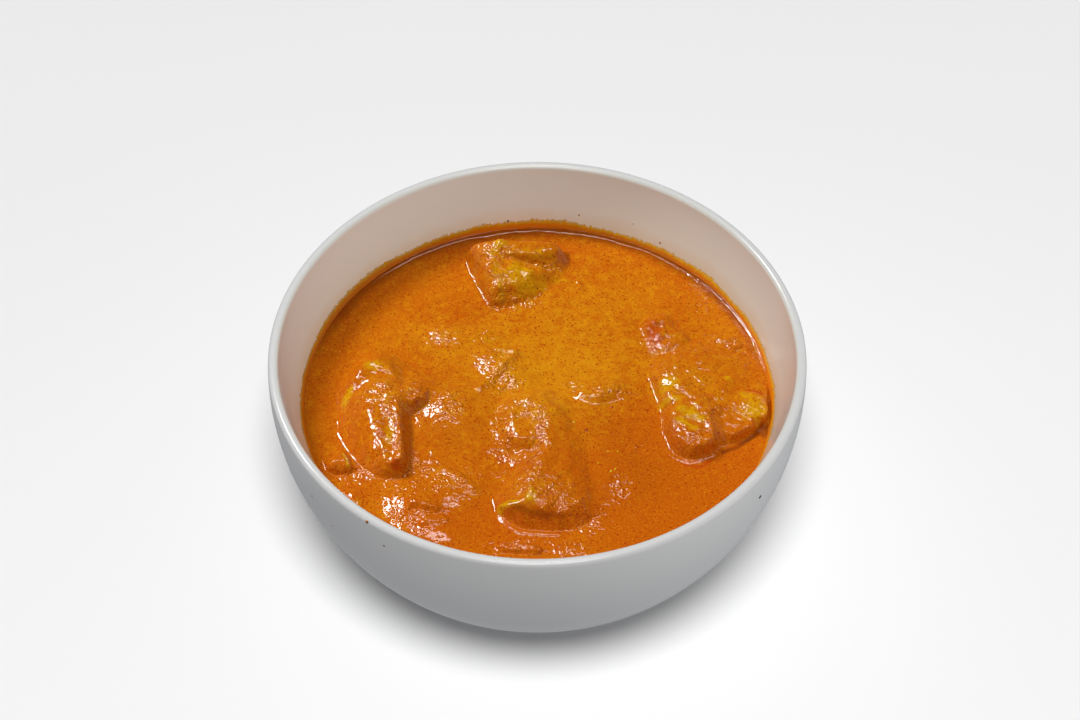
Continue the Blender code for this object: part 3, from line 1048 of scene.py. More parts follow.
FRONT_FORM = Form(
    shown=edges(
        # The middle lump: its curved crest, its dimple and its left outline.
        (514, 398, 3.4), (528, 397, 4.5), (540, 401, 4.9), (547, 410, 5.0), (549, 421, 4.9), (547, 431, 4.6),
        (551, 439, 4.4), (511, 416, 3.7), (514, 425, 3.8), (509, 435, 3.4), (523, 410, 4.0), (529, 419, 3.8),
        (527, 429, 3.8), (538, 415, 4.4), (500, 413, 2.2), (500, 428, 2.2), (492, 418, -0.4),
        (495, 432, -0.4), (499, 444, -0.3), (496, 403, -0.5), (506, 391, -0.5), (520, 386, -0.4),
        (536, 386, -0.4), (552, 388, -0.3), (568, 392, -0.3),
        # Its steep front, and the dark hollow under it.
        (520, 438, 3.7), (532, 438, 4.0), (542, 437, 4.3), (512, 446, 1.5), (521, 449, 1.6), (529, 450, 1.8),
        (537, 446, 2.6), (505, 448, 0.8),
        # The mound to the right of it.
        (562, 405, 2.7), (566, 420, 3.0), (567, 435, 3.3), (579, 402, -0.3), (588, 417, -0.3),
        (595, 434, -0.3), (600, 450, -0.4), (578, 428, 1.6), (584, 446, 1.8),
        # The front chunk's slanting ridge, from the hollow to its top.
        (548, 447, 4.5), (541, 455, 5.2), (536, 465, 5.7), (532, 475, 6.1), (530, 484, 6.5), (530, 492, 6.6),
        (529, 457, 3.2), (524, 468, 3.6),
        # Its left face, from the ridge to the outline.
        (507, 458, 0.0), (508, 470, -0.2), (502, 481, -0.3), (495, 490, -0.4), (490, 500, -0.4),
        (518, 482, 3.8), (514, 492, 3.6), (507, 498, 3.2),
        # The yellow tip and the lip, and the line of its foot.
        (498, 504, 3.3), (506, 505, 4.1), (515, 503, 4.8), (523, 499, 5.6), (500, 508, 2.9),
        (510, 507.5, 3.7), (520, 506, 4.5), (530, 506, 4.9), (539, 505, 5.1), (548, 507, 4.7),
        (556, 510, 4.0), (563, 517, 2.4), (494, 509, -0.4), (501, 517, -0.5), (508, 524, -0.5),
        (519, 530.5, -0.5), (530, 532, -0.5), (545, 533, -0.5), (559, 533, -0.5),
        # Its broad right side.
        (552, 455, 4.5), (569, 452, 3.6), (550, 472, 5.5), (566, 474, 4.7), (581, 478, 3.3), (548, 490, 5.8),
        (565, 494, 5.0), (579, 499, 3.7), (571, 511, 3.3), (583, 512, 2.2), (594, 486, 1.6), (593, 504, 1.4),
        (568, 531, -0.5), (580, 530, -0.5), (593, 526, -0.5), (604, 516, -0.4), (610, 500, -0.4),
        (610, 482, -0.4), (606, 465, -0.4),
    ),
)
RIGHT_FORM = Form(
    shown=edges(
        # The large chunk's stringy top, inside its lines of light.
        (680, 391, 4.8), (693, 394, 5.3), (706, 398, 5.5), (713, 403, 5.5), (710, 413, 5.7), (712, 426, 5.6),
        (715, 436, 4.9), (706, 444, 4.5), (694, 445, 4.5), (683, 441, 4.4), (676, 435, 4.3), (671, 424, 4.3),
        (671, 412, 4.5), (674, 400, 4.6), (690, 408, 5.5), (697, 420, 5.2), (688, 430, 4.9),
        # Its foot, with the line of light round it.
        (659, 402, -0.3), (661, 413, -0.4), (662, 425, -0.4), (663, 437, -0.5), (667, 448, -0.5),
        (674, 457, -0.5), (684, 461, -0.5), (694, 462, -0.5), (704, 459, -0.5), (713, 454, -0.5),
        (720, 447, -0.4),
        # The yellow lobe behind it, and the outline there.
        (657, 376, 3.0), (665, 370, 4.1), (675, 371, 4.8), (680, 380, 5.0), (672, 387, 4.5), (662, 384, 3.6),
        (665, 394, 3.9), (647, 371, -0.3), (651, 384, -0.3), (655, 394, -0.3), (651, 359, -0.2),
        # The long lump behind, with its crest.
        (664, 359, 2.0), (680, 352, 2.8), (700, 349, 3.2), (720, 353, 3.4), (738, 361, 2.9), (751, 373, 2.2),
        (678, 361, 3.7), (695, 359, 4.2), (712, 361, 4.4), (728, 367, 4.0), (741, 378, 3.2), (692, 376, 4.5),
        (704, 371, 3.9), (708, 380, 4.5), (722, 380, 4.2), (660, 349, -0.2), (676, 342, -0.1),
        (700, 338, 0.0), (723, 341, 0.1), (746, 351, 0.0), (762, 366, -0.2), (768, 380, -0.1),
        # The slope between the chunks, and the brown edge at its front.
        (715, 390, 4.4), (726, 391, 4.0), (734, 397, 3.6), (723, 405, 3.8), (722, 418, 3.1), (724, 430, 2.8),
        (733, 410, 3.0), (735, 424, 3.0), (723, 438, 2.4), (733, 434, 2.7), (745, 428, 3.0), (755, 422, 3.4),
        (764, 416, 3.6), (727, 446, -0.5), (737, 443, -0.5), (748, 438, -0.5), (758, 431, -0.5),
        (768, 424, -0.4),
        # The yellow corner by the wall.
        (738, 401, 4.0), (745, 395, 4.4), (756, 393, 4.5), (765, 398, 4.3), (769, 408, 3.8), (748, 406, 4.4),
        (758, 408, 4.4), (742, 415, 3.4), (752, 415, 3.8), (748, 387, 2.8), (759, 389, 3.2), (767, 391, 2.4),
    ),
)
TOMATO_FORM = Form(
    shown=edges(
        # Its two lobes with the hollow between them, and its foot.
        (648, 326, 2.0), (655, 319, 2.4), (664, 317, 2.2), (661, 325, 1.3), (668, 325, 2.3), (677, 331, 2.3),
        (686, 338, 1.7), (657, 333, 2.5), (667, 336, 1.9), (656, 344, 1.6), (664, 347, 1.9), (674, 345, 2.1),
        (682, 346, 1.2), (639, 325, -0.4), (643, 336, -0.4), (647, 347, -0.4), (656, 356, -0.3),
        (670, 355, -0.3), (687, 352, -0.3), (695, 343, -0.3), (691, 331, -0.4), (679, 322, -0.4),
        (669, 311, -0.4), (655, 310, -0.4), (645, 315, -0.4),
    ),
)
FORMS = (BACK_FORM, LEFT_FORM, FRONT_FORM, RIGHT_FORM, TOMATO_FORM)

# Where the chunks are stringy.
STRINGY: Marks = (
    Spot((43.5, -10), (8, 9), 0.9),
    Spot((37, 2), (6, 5), 0.6),
    Spot((60, -8), (6, 6), 0.7),
    Spot((-40.5, -16), (4, 8), 0.5),
    Spot((-47, 5), (7, 5), 0.4),
)

# Finer relief: folds in the gravy's skin, and the narrow rims of gravy along the chunks' feet.
RELIEF: Marks = (
    Streak(((-10.1, 47.9), (-7.5, 45.9), (-4.8, 44.8), (-2.0, 42.3)), 0.6, 0.35),
    Streak(
        ((-12.8, -8.7), (-11.9, -12.7), (-11.0, -16.3), (-9.5, -19.9), (-8.4, -23.1), (-8.1, -27.1)),
        0.6,
        0.4,
    ),
    Streak(
        ((-9.9, -43.4), (-7.9, -45.8), (-4.9, -48.1), (-1.9, -48.6), (2.1, -48.9), (5.9, -48.9)),
        0.6,
        0.35,
    ),
    Streak(
        ((35.2, -15.2), (36.2, -18.8), (38.0, -22.1), (40.7, -23.5), (43.5, -23.9), (48.9, -21.0)),
        0.6,
        0.35,
    ),
    Streak(((-16.5, 2.5), (-11.5, 8.3), (-6.5, 15.6)), 1.5, 0.9),
    Streak(((-11.5, 17.6), (-6.5, 16.6)), 0.9, 0.7),
    Streak(((13.0, -0.6), (16.4, -1.6), (19.8, 0.2), (22.5, 1.9)), 2.2, 0.95),
    Spot((-25.0, -4.2), (3.6, 4.4), 0.8),
    Streak(((-33.1, -3.9), (-27.5, 0.6), (-19.0, -0.9)), 1.6, 0.4),
    Streak(((22.2, -32.0), (23.6, -36.2)), 0.6, 0.4),
    Streak(((-34.5, -39.5), (-27.5, -41.0)), 1.1, 0.7),
    Streak(((-31, -46), (-25, -44.5)), 1.1, 0.6),
    Streak(((-25.5, -27.5), (-18, -33.5)), 1.4, 0.7),
    Streak(((12.0, 45.5), (12.8, 42.0)), 0.7, 0.4),
    Streak(((50.3, 16.4), (54.0, 14.6), (57.8, 17.6)), 0.9, 0.8),
    Spot((53.8, 19.8), (3.6, 2.2), 0.6),
)

# Where the gravy is thin and curdled over something.
LUMPY: Marks = (
    Streak(((1.8, -10.0), (0.5, -18.5), (-1.5, -29.0), (-2.5, -38.0)), 2.4, 0.9),
    Streak(((-12.2, 51.0), (-11.5, 44.0), (-9.5, 35.5)), 1.8, 0.9),
    Streak(((-10.0, 33.5), (-5.0, 34.5), (-1.5, 36.5)), 1.8, 0.9),
    Spot((2.5, 49.0), (5.0, 2.0), 0.7),
    Spot((-27, 23.4), (5, 3.5), 0.9),
    Spot((-16, 23), (4.5, 2.5), 0.8),
    Spot((-11, 11), (6, 9), 0.8),
    Spot((-24.4, -4), (4.4, 5.0), 1.0),
    Spot((-34, 0.5), (4, 3.5), 0.8),
    Spot((-42, -4), (6, 6), 0.9),
    Spot((-40, -18), (4, 9), 0.8),
    Spot((-50, -27), (6, 5), 0.7),
    Spot((-33, -26), (5, 5), 0.9),
    Spot((-24, -31), (8, 5), 1.0),
    Spot((-31, -43.5), (7, 4), 0.8),
    Spot((-37, -43.5), (4, 3), 0.7),
    Spot((-8, 3), (4, 4), 1.0),
    Spot((10.2, 4.7), (2, 2), 0.9),
    Spot((-36, -35), (6, 4), 0.7),
    Spot((-52, -35), (4, 4), 0.6),
    Spot((-10, -22), (6, 8), 0.5),
    Spot((-2, -8), (5, 4), 0.9),
    Streak(((-9.5, -6.0), (-10.5, -13.0), (-8.5, -20.0)), 2.2, 0.9),
    Spot((2, -40), (9, 6), 0.7),
    Spot((17.8, 1.5), (9, 3), 0.9),
    Spot((35, 20), (6, 8), 0.7),
    Spot((55, 19), (6, 4), 1.0),
    Spot((50, 38), (8, 14), 0.5),
    Spot((61, 13), (5, 6), 0.6),
    Spot((44, -10), (10, 14), 0.5),
    Spot((40, 4), (9, 5), 0.5),
    Streak(((47.5, -4.0), (49.0, -10.0), (47.5, -16.5), (43.5, -20.5)), 1.6, 0.8),
    Spot((60, -8), (6, 8), 0.4),
    Spot((15, -45), (6, 4), 0.6),
    Spot((23, -33), (2.5, 4), 0.7),
    Spot((27, -21), (6, 5), 0.4),
    Spot((-5, -53.8), (9, 3), 0.8),
    Spot((10, -53.5), (5, 3), 0.9),
    Spot((-8, 45), (9, 10), 0.4),
    Streak(((-15.6, 52), (-13.6, 42), (-12.2, 34)), 2.0, 0.9),
    Spot((-11, 52), (4, 4), 0.8),
    Spot((-6, 36), (6, 2), 0.9),
    Spot((2, -35), (7, 6), 0.6),
)

# Where the gravy is yellower, or with an amount below 0 redder, than elsewhere: mostly its own tone, and on
# the chunks' tops painted light, making them lighter and yellower.
SUNNY: Marks = (
    Spot((5, 8), (24, 16), 0.58),
    Spot((28, -34), (22, 16), -0.42),
    Spot((52, -20), (12, 14), -0.3),
    Spot((-8, -50), (24, 10), -0.35),
    Spot((30, -8), (8, 10), -0.2),
    Spot((12, 32), (26, 18), 0.22),
    Spot((-24, 24), (14, 8), 0.25),
    Spot((-8, 45), (12, 10), 0.25),
    Spot((-40, -30), (26, 22), -0.15),
    Spot((30, -40), (30, 22), -0.22),
    Spot((45, 28), (16, 14), -0.10),
    Spot((-30, 45), (30, 18), -0.12),
    Spot((-58, 5), (12, 30), -0.12),
    # The chunks' tops, painted lighter and yellower as lit tops.
    Spot((-45, -8), (8, 13), 0.22),
    Spot((2, -37), (11, 9), 0.28),
    Spot((0, -9), (8, 8), 0.22),
    Spot((43, -6), (10, 12), 0.20),
    Spot((48, -36), (18, 14), -0.30),
    Spot((31, -17), (7, 9), -0.30),
    Spot((-20, -45), (14, 8), -0.25),
)

# Where yellow curd shows.
BARE: Marks = (
    Spot((-5.5, 44.5), (5.5, 4.5), 0.9),
    Spot((-10.8, 53.4), (3.2, 2.0), 1.0),
    Spot((-3.5, 40.0), (5.0, 3.5), 0.6),
    Streak(((-13.2, 50.5), (-12.9, 46.5), (-11.6, 40.5), (-10.4, 36.5)), 1.5, 0.6),
    Spot((0, 52), (7, 2.5), 0.55),
    Spot((6.7, 45.0), (3.0, 1.6), 0.7),
    Spot((1.5, 41.5), (3.5, 2.0), 0.5),
    Streak(((-54.5, -3.5), (-52.9, -0.1)), 1.6, 0.9),
    Spot((-47.2, 8.0), (4.2, 2.4), 0.85),
    Spot((-41.8, -5.5), (2.0, 3.0), 0.5),
    Spot((-41.0, -17.0), (1.8, 5.0), 0.85),
    Streak(((-53.9, -22.0), (-52.3, -26.3)), 0.8, 1.0),
    Spot((-1.7, -40.5), (2.0, 4.0), 0.9),
    Streak(((-10.1, -41.5), (-6.0, -41.5)), 1.5, 0.95),
    Spot((-1, -9), (2.5, 2.5), 0.4),
    Spot((37.0, 1.4), (4.0, 3.8), 1.0),
    Streak(((34.8, -4.0), (39.2, -4.2)), 1.2, 1.0),
    Streak(((39.8, -8.6), (46.2, -12.4)), 1.5, 1.0),
    Streak(((39.4, -12.0), (43.8, -15.2)), 1.4, 0.9),
    Spot((44.5, -7.5), (4.0, 2.5), 0.55),
    Spot((53.8, 3.7), (1.5, 1.2), 0.95),
    Spot((60.8, -7.5), (4.8, 4.2), 1.0),
    Spot((58.0, -2.5), (3.4, 2.2), 0.6),
    Streak(((34.9, 22.7), (40.0, 21.2)), 0.6, 0.7),
    Spot((-24, 26), (4, 2), 0.45),
    Spot((-31, -37), (2.5, 1.4), 0.45),
)

# Where tomato or chilli reddens it.
RED: Marks = (
    Spot((-39.1, -27.6), (1.7, 1.3), 1.0),
    Streak(((40.5, -25.0), (45.4, -25.6), (48.6, -23)), 0.7, 0.8),
    Streak(((59.2, 0.0), (63.6, -1.8)), 0.8, 0.8),
    Spot((33.5, 24), (3.5, 5), 0.5),
    Streak(((32.5, 28.0), (34.0, 23.0), (34.5, 18.0)), 2.6, 0.5),
    Spot((40, 18), (4, 2), 0.4),
    Spot((-46.5, -16), (1.2, 1.6), 0.5),
    Spot((53, 22), (4, 2.5), 0.25),
    Spot((56, 18), (3, 2), 0.3),
)

# How sunny the gravy is away from those places.
EVEN_SUNNY = 0.45

# Painted shade: where the food is darkened as shade falls, in hollows and cracks, under lips and on steep
# shaded faces.
DARK: Marks = (
    Streak(((36.5, 27.0), (37.5, 22.5)), 0.5, 0.6),
    Streak(((-6.9, -42.0), (-2.0, -44.4), (2.9, -45.0), (7.0, -44.6)), 1.2, 0.55),
    Spot((63.8, -13.2), (1.6, 3.0), 0.9),
    Streak(((51.8, -20.4), (56.0, -18.4), (59.5, -15.4), (63.0, -12.0)), 1.0, 0.75),
    Spot((2.8, 46.6), (3.6, 2.2), 0.45),
    Streak(((-19.6, 52.0), (-18.4, 46.0), (-16.6, 40.0), (-14.4, 36.0)), 2.2, 0.42),
)


def amounts(marks: Marks, x: np.ndarray, y: np.ndarray) -> np.ndarray:
    """The sum of these marks at points in millimetres."""
    return sum(mark.amount * mark.share(x, y) for mark in marks)


def cover(marks: Marks, x: np.ndarray, y: np.ndarray) -> np.ndarray:
    """How far these marks cover points in millimetres, from 0 to 1, where they may overlap."""
    return 1 - np.prod([1 - mark.amount * mark.share(x, y) for mark in marks], axis=0)


def season(mesh: bpy.types.Mesh, more_painted_shade: float | np.ndarray = 0.0) -> None:
    """Writes onto a mesh how sunny, bare, red, dark and lumpy it is at each point.

    Args:
        mesh: the food's mesh, in its place.
        more_painted_shade: how much more painted shade it has besides, for each point or for all.
    """
    x, y = in_mm(points_of(mesh))
    set_attribute(mesh, "sunny", EVEN_SUNNY + amounts(SUNNY, x, y))
    # The painted shade: from the marks, and any given besides.
    set_attribute(mesh, "dark", cover(DARK, x, y) + more_painted_shade)
    for name, marks in (("bare", BARE), ("red", RED), ("lumpy", LUMPY)):
        set_attribute(mesh, name, cover(marks, x, y))


@dataclass(frozen=True)
class Skin:
    """The food's uneven skin: low all over, and folded where it is lumpy. Depths are in millimetres."""

    broad: Cloud = Cloud(9 * MM, 2, 1.0)
    broad_depth: float = 0.30
    folds: Cloud = Cloud(3.4 * MM, 2, 2.0)
    fold_depth: float = 0.44
    fold_middle: float = 0.25
    curds: Cloud = Cloud(1.6 * MM, 2, 3.0)
    curd_depth: float = 0.16

    def at(self, place: Vector, lumpy: float) -> float:
        """How high the skin stands at a place, in millimetres.

        Args:
            place: where, in metres.
            lumpy: how lumpy the food is there.

        Returns:
            The height.
        """
        folded = self.fold_depth * (self.fold_middle - abs(self.folds.at(place)))
        curdled = self.curd_depth * self.curds.at(place)
        return self.broad_depth * self.broad.at(place) + lumpy * (folded + curdled)


SKIN = Skin()


# --- The chunks -----------------------------------------------------------------------------------


@dataclass(frozen=True)
class Crust:
    """How a chunk of the frame is roughened, in millimetres, and how it looks.

    The gravy follows the solid of a coated one, and the forms of the others.
    """

    node: str
    lump: float = 0.4
    lump_size: float = 4.0
    look: FoodFinish = PANEER
    slot: Slot = Slot.PANEER
    coated: bool = False


# The green strip has no form of its own, so the gravy's coat follows its solid.
CRUSTS = (
    Crust("paneer_back"),
    Crust("paneer_left_back"),
    Crust("paneer_left"),
    Crust("paneer_left_rim", lump=0.3),
    Crust("paneer_right"),
    Crust("paneer_right_rim"),
    Crust("paneer_right_back"),
    Crust("paneer_front"),
    Crust("paneer_middle"),
    Crust("tomato_bit", 0.4, 3.0, TOMATO, Slot.TOMATO),
    Crust("green_strip", 0.15, 2.0, PEPPER, Slot.PEPPER, coated=True),
)


@dataclass
class Chunk:
    """A piece of food that stands out of the gravy: the frame's solid, rounded and roughened."""

    crust: Crust
    source: bpy.types.Object
    bowl: Bowl
    mesh: bpy.types.Mesh | None = None
    levels: int = 3
    seed_step: float = 0.01
    wall_gap: float = 0.2 * MM
    depth: float = 0.35
    bare_rise: float = 0.2

    def shape(self) -> None:
        """Smooths a merged copy of the frame's mesh, and roughens and seasons it."""
        bm = bmesh.new()
        bm.from_mesh(self.source.data)
        bmesh.ops.remove_doubles(bm, verts=bm.verts, dist=WELD)
        bmesh.ops.join_triangles(
            bm, faces=bm.faces, angle_face_threshold=math.pi, angle_shape_threshold=math.pi
        )
        rough = mesh_from(bm, self.crust.node + "_rough")
        carrier = add_object("carrier", rough)
        smooth = carrier.modifiers.new("smooth", "SUBSURF")
        smooth.levels = smooth.render_levels = self.levels
        graph = bpy.context.evaluated_depsgraph_get()
        self.mesh = bpy.data.meshes.new_from_object(carrier.evaluated_get(graph))
        bpy.data.objects.remove(carrier)
        bpy.data.meshes.remove(rough)
        self._roughen()
        season(self.mesh)

    def _roughen(self) -> None:
        """Pushes each point along its normal by lumps, and up by the food's relief."""
        lumps = Cloud(self.crust.lump_size * MM, 2, sum(map(ord, self.crust.node)) * self.seed_step)
        points = points_of(self.mesh)
        normals = vectors_of(self.mesh.vertex_normals, "vector")
        x, y = in_mm(points)
        pushes = [
            self.crust.lump * lumps.at(Vector(place)) + SKIN.at(Vector(place), lumpy)
            for place, lumpy in zip(points, cover(LUMPY, x, y))
        ]
        rise = amounts(RELIEF, x, y) * np.maximum(normals[:, 2], 0)
        points += normals * np.array(pushes)[:, None] * MM
        points[:, 2] += rise * MM
        self._keep_inside(points)
        move_points(self.mesh, points)

    def press(self, surface: BVHTree) -> None:
        """Lowers what stands above the gravy's coat to just below it, less deep where the chunk is bare.

        Args:
            surface: the gravy's surface.
        """
        points = points_of(self.mesh)
        bare = cover(BARE, *in_mm(points))
        for index, (x, y, z) in enumerate(points):
            coat = height_on(surface, x, y)
            if coat is not None:
                points[index, 2] = min(z, coat + (bare[index] * self.bare_rise - self.depth) * MM)
        move_points(self.mesh, points)

    def _keep_inside(self, points: np.ndarray) -> None:
        """Draws points back that would run into the bowl's wall.

        Args:
            points: the chunk's points, which it moves.
        """
        out = np.hypot(points[:, 0], points[:, 1])
        up = points[:, 2] - self.bowl.inner_centre
        room = np.sqrt(self.bowl.inner_radius**2 - up**2) - self.wall_gap
        points[:, :2] *= np.minimum(room / np.maximum(out, MM), 1)[:, None]

    def build(self, material: bpy.types.Material) -> bpy.types.Object:
        """Makes the shaped mesh a piece."""
        node = self.crust.node
        return finish_piece(self.mesh, node + "_dressed", material, self.crust.slot, node)


# --- The gravy ------------------------------------------------------------------------------------


@dataclass
class Gravy:
    """The gravy as one body: its surface, which coats the chunk groups, and its sides along the bowl.

    The fillet, the form's lumps, the fibres, the coat and what counts as outside are in millimetres, and
    the blurs in cells.
    """

    bowl: Bowl
    coated: list[Chunk]
    cells: int = 300
    side_steps: int = 5
    edge_fineness: float = 0.72 * math.pi / 2
    into_wall: float = 0.06 * MM
    wall_climb: float = 0.8 * MM
    wall_reach: float = 0.75 * MM
    calm_reach: float = 1.8 * MM
    # Painted shadow of the bowl's wall: a darker band of gravy round the back, near the wall.
    painted_wall_shade: float = 0.7
    painted_wall_shade_reach: float = 3.8 * MM
    painted_wall_shade_middle: float = 0.15
    fillet: float = 0.4
    form_blur: float = 0.9
    form_lump: float = 0.35
    form_lumps: Cloud = Cloud(3.2 * MM, 2, 4.0)
    fibre: float = 1.0
    fibres: Cloud = Cloud(1.5 * MM, 1, 9.0)
    fibre_turn: float = -38
    fibre_length: float = 5
    outside: float = -3.0
    coat_blur: float = 1.5
    coat: float = 0.3
    floor_angle: float = math.radians(-74)

    def build(self, finish: FoodFinish) -> bpy.types.Object:
        """Makes the gravy.

        Args:
            finish: its look.

        Returns:
            The piece.
        """
        bm = bmesh.new()
        bmesh.ops.create_grid(bm, x_segments=self.cells, y_segments=self.cells, size=1)
        edge_radius = self.bowl.wall_radius(self.bowl.gravy_height + self.wall_climb) + self.into_wall
        rows = sorted(bm.verts, key=lambda vertex: (round(vertex.co.y, 5), vertex.co.x))
        order = np.array([vertex.index for vertex in rows])
        for vertex in bm.verts:
            vertex.co = self._to_disc(vertex.co.x, vertex.co.y) * edge_radius
        self._add_sides(bm, [edge for edge in bm.edges if edge.is_boundary])
        bmesh.ops.recalc_face_normals(bm, faces=bm.faces)
        mesh = mesh_from(bm, "gravy_body")
        self._raise(mesh, order)
        points = points_of(mesh)
        to_wall = self.bowl.wall_radius(self.bowl.gravy_height) - np.hypot(points[:, 0], points[:, 1])
        # Paints the wall's shadow as a dark band along the back of the gravy.
        behind = np.clip(points[:, 1] / (self.bowl.inner_radius / 2) + self.painted_wall_shade_middle, 0, 1)
        season(mesh, self.painted_wall_shade * fade(to_wall, self.painted_wall_shade_reach) * behind)
        return finish_piece(mesh, "gravy_body", finish.make(), Slot.GRAVY, "gravy")

    def _to_disc(self, u: float, v: float) -> Vector:
        """Maps the square grid onto the unit disc, with finer cells at its edge.

        Args:
            u: the point's place across the grid, from -1 to 1.
            v: its place along it.

        Returns:
            Its place on the disc.
        """
        spot = Vector((u * math.sqrt(1 - v * v / 2), v * math.sqrt(1 - u * u / 2), 0))
        stretched = math.sin(spot.length * self.edge_fineness) / math.sin(self.edge_fineness)
        return spot.normalized() * stretched

    def _add_sides(self, bm: bmesh.types.BMesh, ring: list[bmesh.types.BMEdge]) -> None:
        """Runs the surface's edge down along the wall to a flat floor.

        Args:
            bm: the surface, on the level.
            ring: its edge.
        """
        skin = self.bowl.inner_radius + self.into_wall
        start = math.asin((self.bowl.gravy_height - self.bowl.inner_centre) / skin)
        for step in range(1, self.side_steps + 1):
            angle = start + (self.floor_angle - start) * step / self.side_steps
            ring, made = extrude_ring(bm, ring)
            for vertex in made:
                across = outwards(vertex.co) * skin * math.cos(angle)
                vertex.co = across + Vector((0, 0, self.bowl.inner_centre + skin * math.sin(angle)))
        bmesh.ops.contextual_create(bm, geom=ring)

    def _raise(self, mesh: bpy.types.Mesh, order: np.ndarray) -> None:
        """Lifts the surface's points to their heights.

        Args:
            mesh: the gravy, still flat, with the surface's points first.
            order: the surface's points in rows, as the grid had them.
        """
        points = points_of(mesh)
        top = points[: len(order)]
        x, y = in_mm(top)
        level = self.bowl.gravy_height
        to_wall = np.maximum(self.bowl.wall_radius(level) - np.hypot(top[:, 0], top[:, 1]), 0)
        calm = 1 - fade(to_wall, self.calm_reach)
        places = (Vector((across, along, 0)) for across, along, _ in top)
        skin = np.array([SKIN.at(place, lumpy) for place, lumpy in zip(places, cover(LUMPY, x, y))])
        flat = (amounts(SWELLS, x, y) + amounts(RELIEF, x, y) + skin) * calm
        formed = smooth_highest(flat, self._form(top, order) + skin, self.fillet)
        heights = smooth_highest(formed, self._drape(top, order), self.fillet)
        top[:, 2] = level + heights * MM + self.wall_climb * np.exp(-to_wall / self.wall_reach)
        move_points(mesh, points)

    def _form(self, top: np.ndarray, order: np.ndarray) -> np.ndarray:
        """How high the forms of the chunk groups stand, rounded, lumpy and stringy.

        Args:
            top: the surface's points.
            order: those points in rows.

        Returns:
            Heights in millimetres above the level, and far below it away from the forms.
        """
        surfaces = [form.surface(self.bowl.gravy_height) for form in FORMS]
        turn = Matrix.Rotation(-math.radians(self.fibre_turn), 3, "Z")
        stands = np.full(len(top), self.outside)
        uneven = np.empty(len(top))
        strands = np.empty(len(top))
        for index, place in enumerate(top):
            x, y, _ = place / MM
            for surface in surfaces:
                height = height_on(surface, x, y, ABOVE_FOOD / MM)
                if height is not None:
                    stands[index] = max(height, stands[index])
            strand = turn @ Vector(place)
            strand.x /= self.fibre_length
            uneven[index] = self.form_lumps.at(Vector(place))
            strands[index] = abs(self.fibres.at(strand))
        stringy = cover(STRINGY, *in_mm(top))
        rounded = soften(stands, order, self.form_blur)
        return rounded + self.form_lump * uneven - self.fibre * strands * stringy

    def _drape(self, top: np.ndarray, order: np.ndarray) -> np.ndarray:
        """How high the gravy lies where it coats the bits that have no form.

        Args:
            top: the surface's points.
            order: those points in rows.

        Returns:
            Heights in millimetres above the level, and far below it away from the bits.
        """
        tree = tree_of([bit.mesh for bit in self.coated])
        lowest = self.bowl.gravy_height + self.outside * MM
        heights = [height_on(tree, x, y) or lowest for x, y, _ in top]
        stands = (np.maximum(heights, lowest) - self.bowl.gravy_height) / MM
        return np.maximum(soften(spread(stands, order), order, self.coat_blur), stands) + self.coat


def smooth_highest(first: np.ndarray, second: np.ndarray, blend: float) -> np.ndarray:
    """The higher of two surfaces, with a rounded groove where they meet."""
    return (first + second + np.sqrt((first - second) ** 2 + blend**2) - blend) / 2


def in_rows(values: np.ndarray, order: np.ndarray) -> np.ndarray:
    """Values as the square grid that their points make in that order."""
    side = math.isqrt(len(order))
    return values[order].reshape(side, side)


def from_rows(rows: np.ndarray, order: np.ndarray) -> np.ndarray:
    """A square grid's values, in the points' own order.

    Args:
        rows: the grid.
        order: the points in rows.

    Returns:
        One value for each point.
    """
    found = np.empty(rows.size)
    found[order] = rows.ravel()
    return found


def spread(values: np.ndarray, order: np.ndarray) -> np.ndarray:
    """Spreads high values over a square grid, by one cell.

    Args:
        values: one for each point.
        order: the points in rows.

    Returns:
        The highest value in and beside each cell.
    """
    padded = np.pad(in_rows(values, order), 1, mode="edge")
    level = np.maximum(padded[1:-1, :-2], padded[1:-1, 2:])
    upright = np.maximum(padded[:-2, 1:-1], padded[2:, 1:-1])
    return from_rows(np.maximum.reduce([padded[1:-1, 1:-1], level, upright]), order)


def soften(values: np.ndarray, order: np.ndarray, reach: float) -> np.ndarray:
    """Blurs values over a square grid.

    Args:
        values: one for each point.
        order: the points in rows.
        reach: how far it blurs, in cells.

    Returns:
        The blurred values, in the points' own order.
    """
    rows = in_rows(values, order)
    last = math.ceil(3 * reach)
    weights = np.exp(-0.5 * (np.arange(-last, last + 1) / reach) ** 2)
    weights /= weights.sum()
    for _ in range(2):
        rows = np.apply_along_axis(lambda row: np.convolve(row, weights, "same"), 1, rows).T
    return from_rows(rows, order)


def tree_of(meshes: list[bpy.types.Mesh]) -> BVHTree:
    """One search tree over several meshes.

    Args:
        meshes: the meshes.

    Returns:
        The tree.
    """
    points: list[Vector] = []
    faces: list[tuple[int, ...]] = []
    for mesh in meshes:
        first = len(points)
        points += [vertex.co.copy() for vertex in mesh.vertices]
        faces += [tuple(first + index for index in face.vertices) for face in mesh.polygons]
    return BVHTree.FromPolygons(points, faces)


# --- The film and the specks ----------------------------------------------------------------------


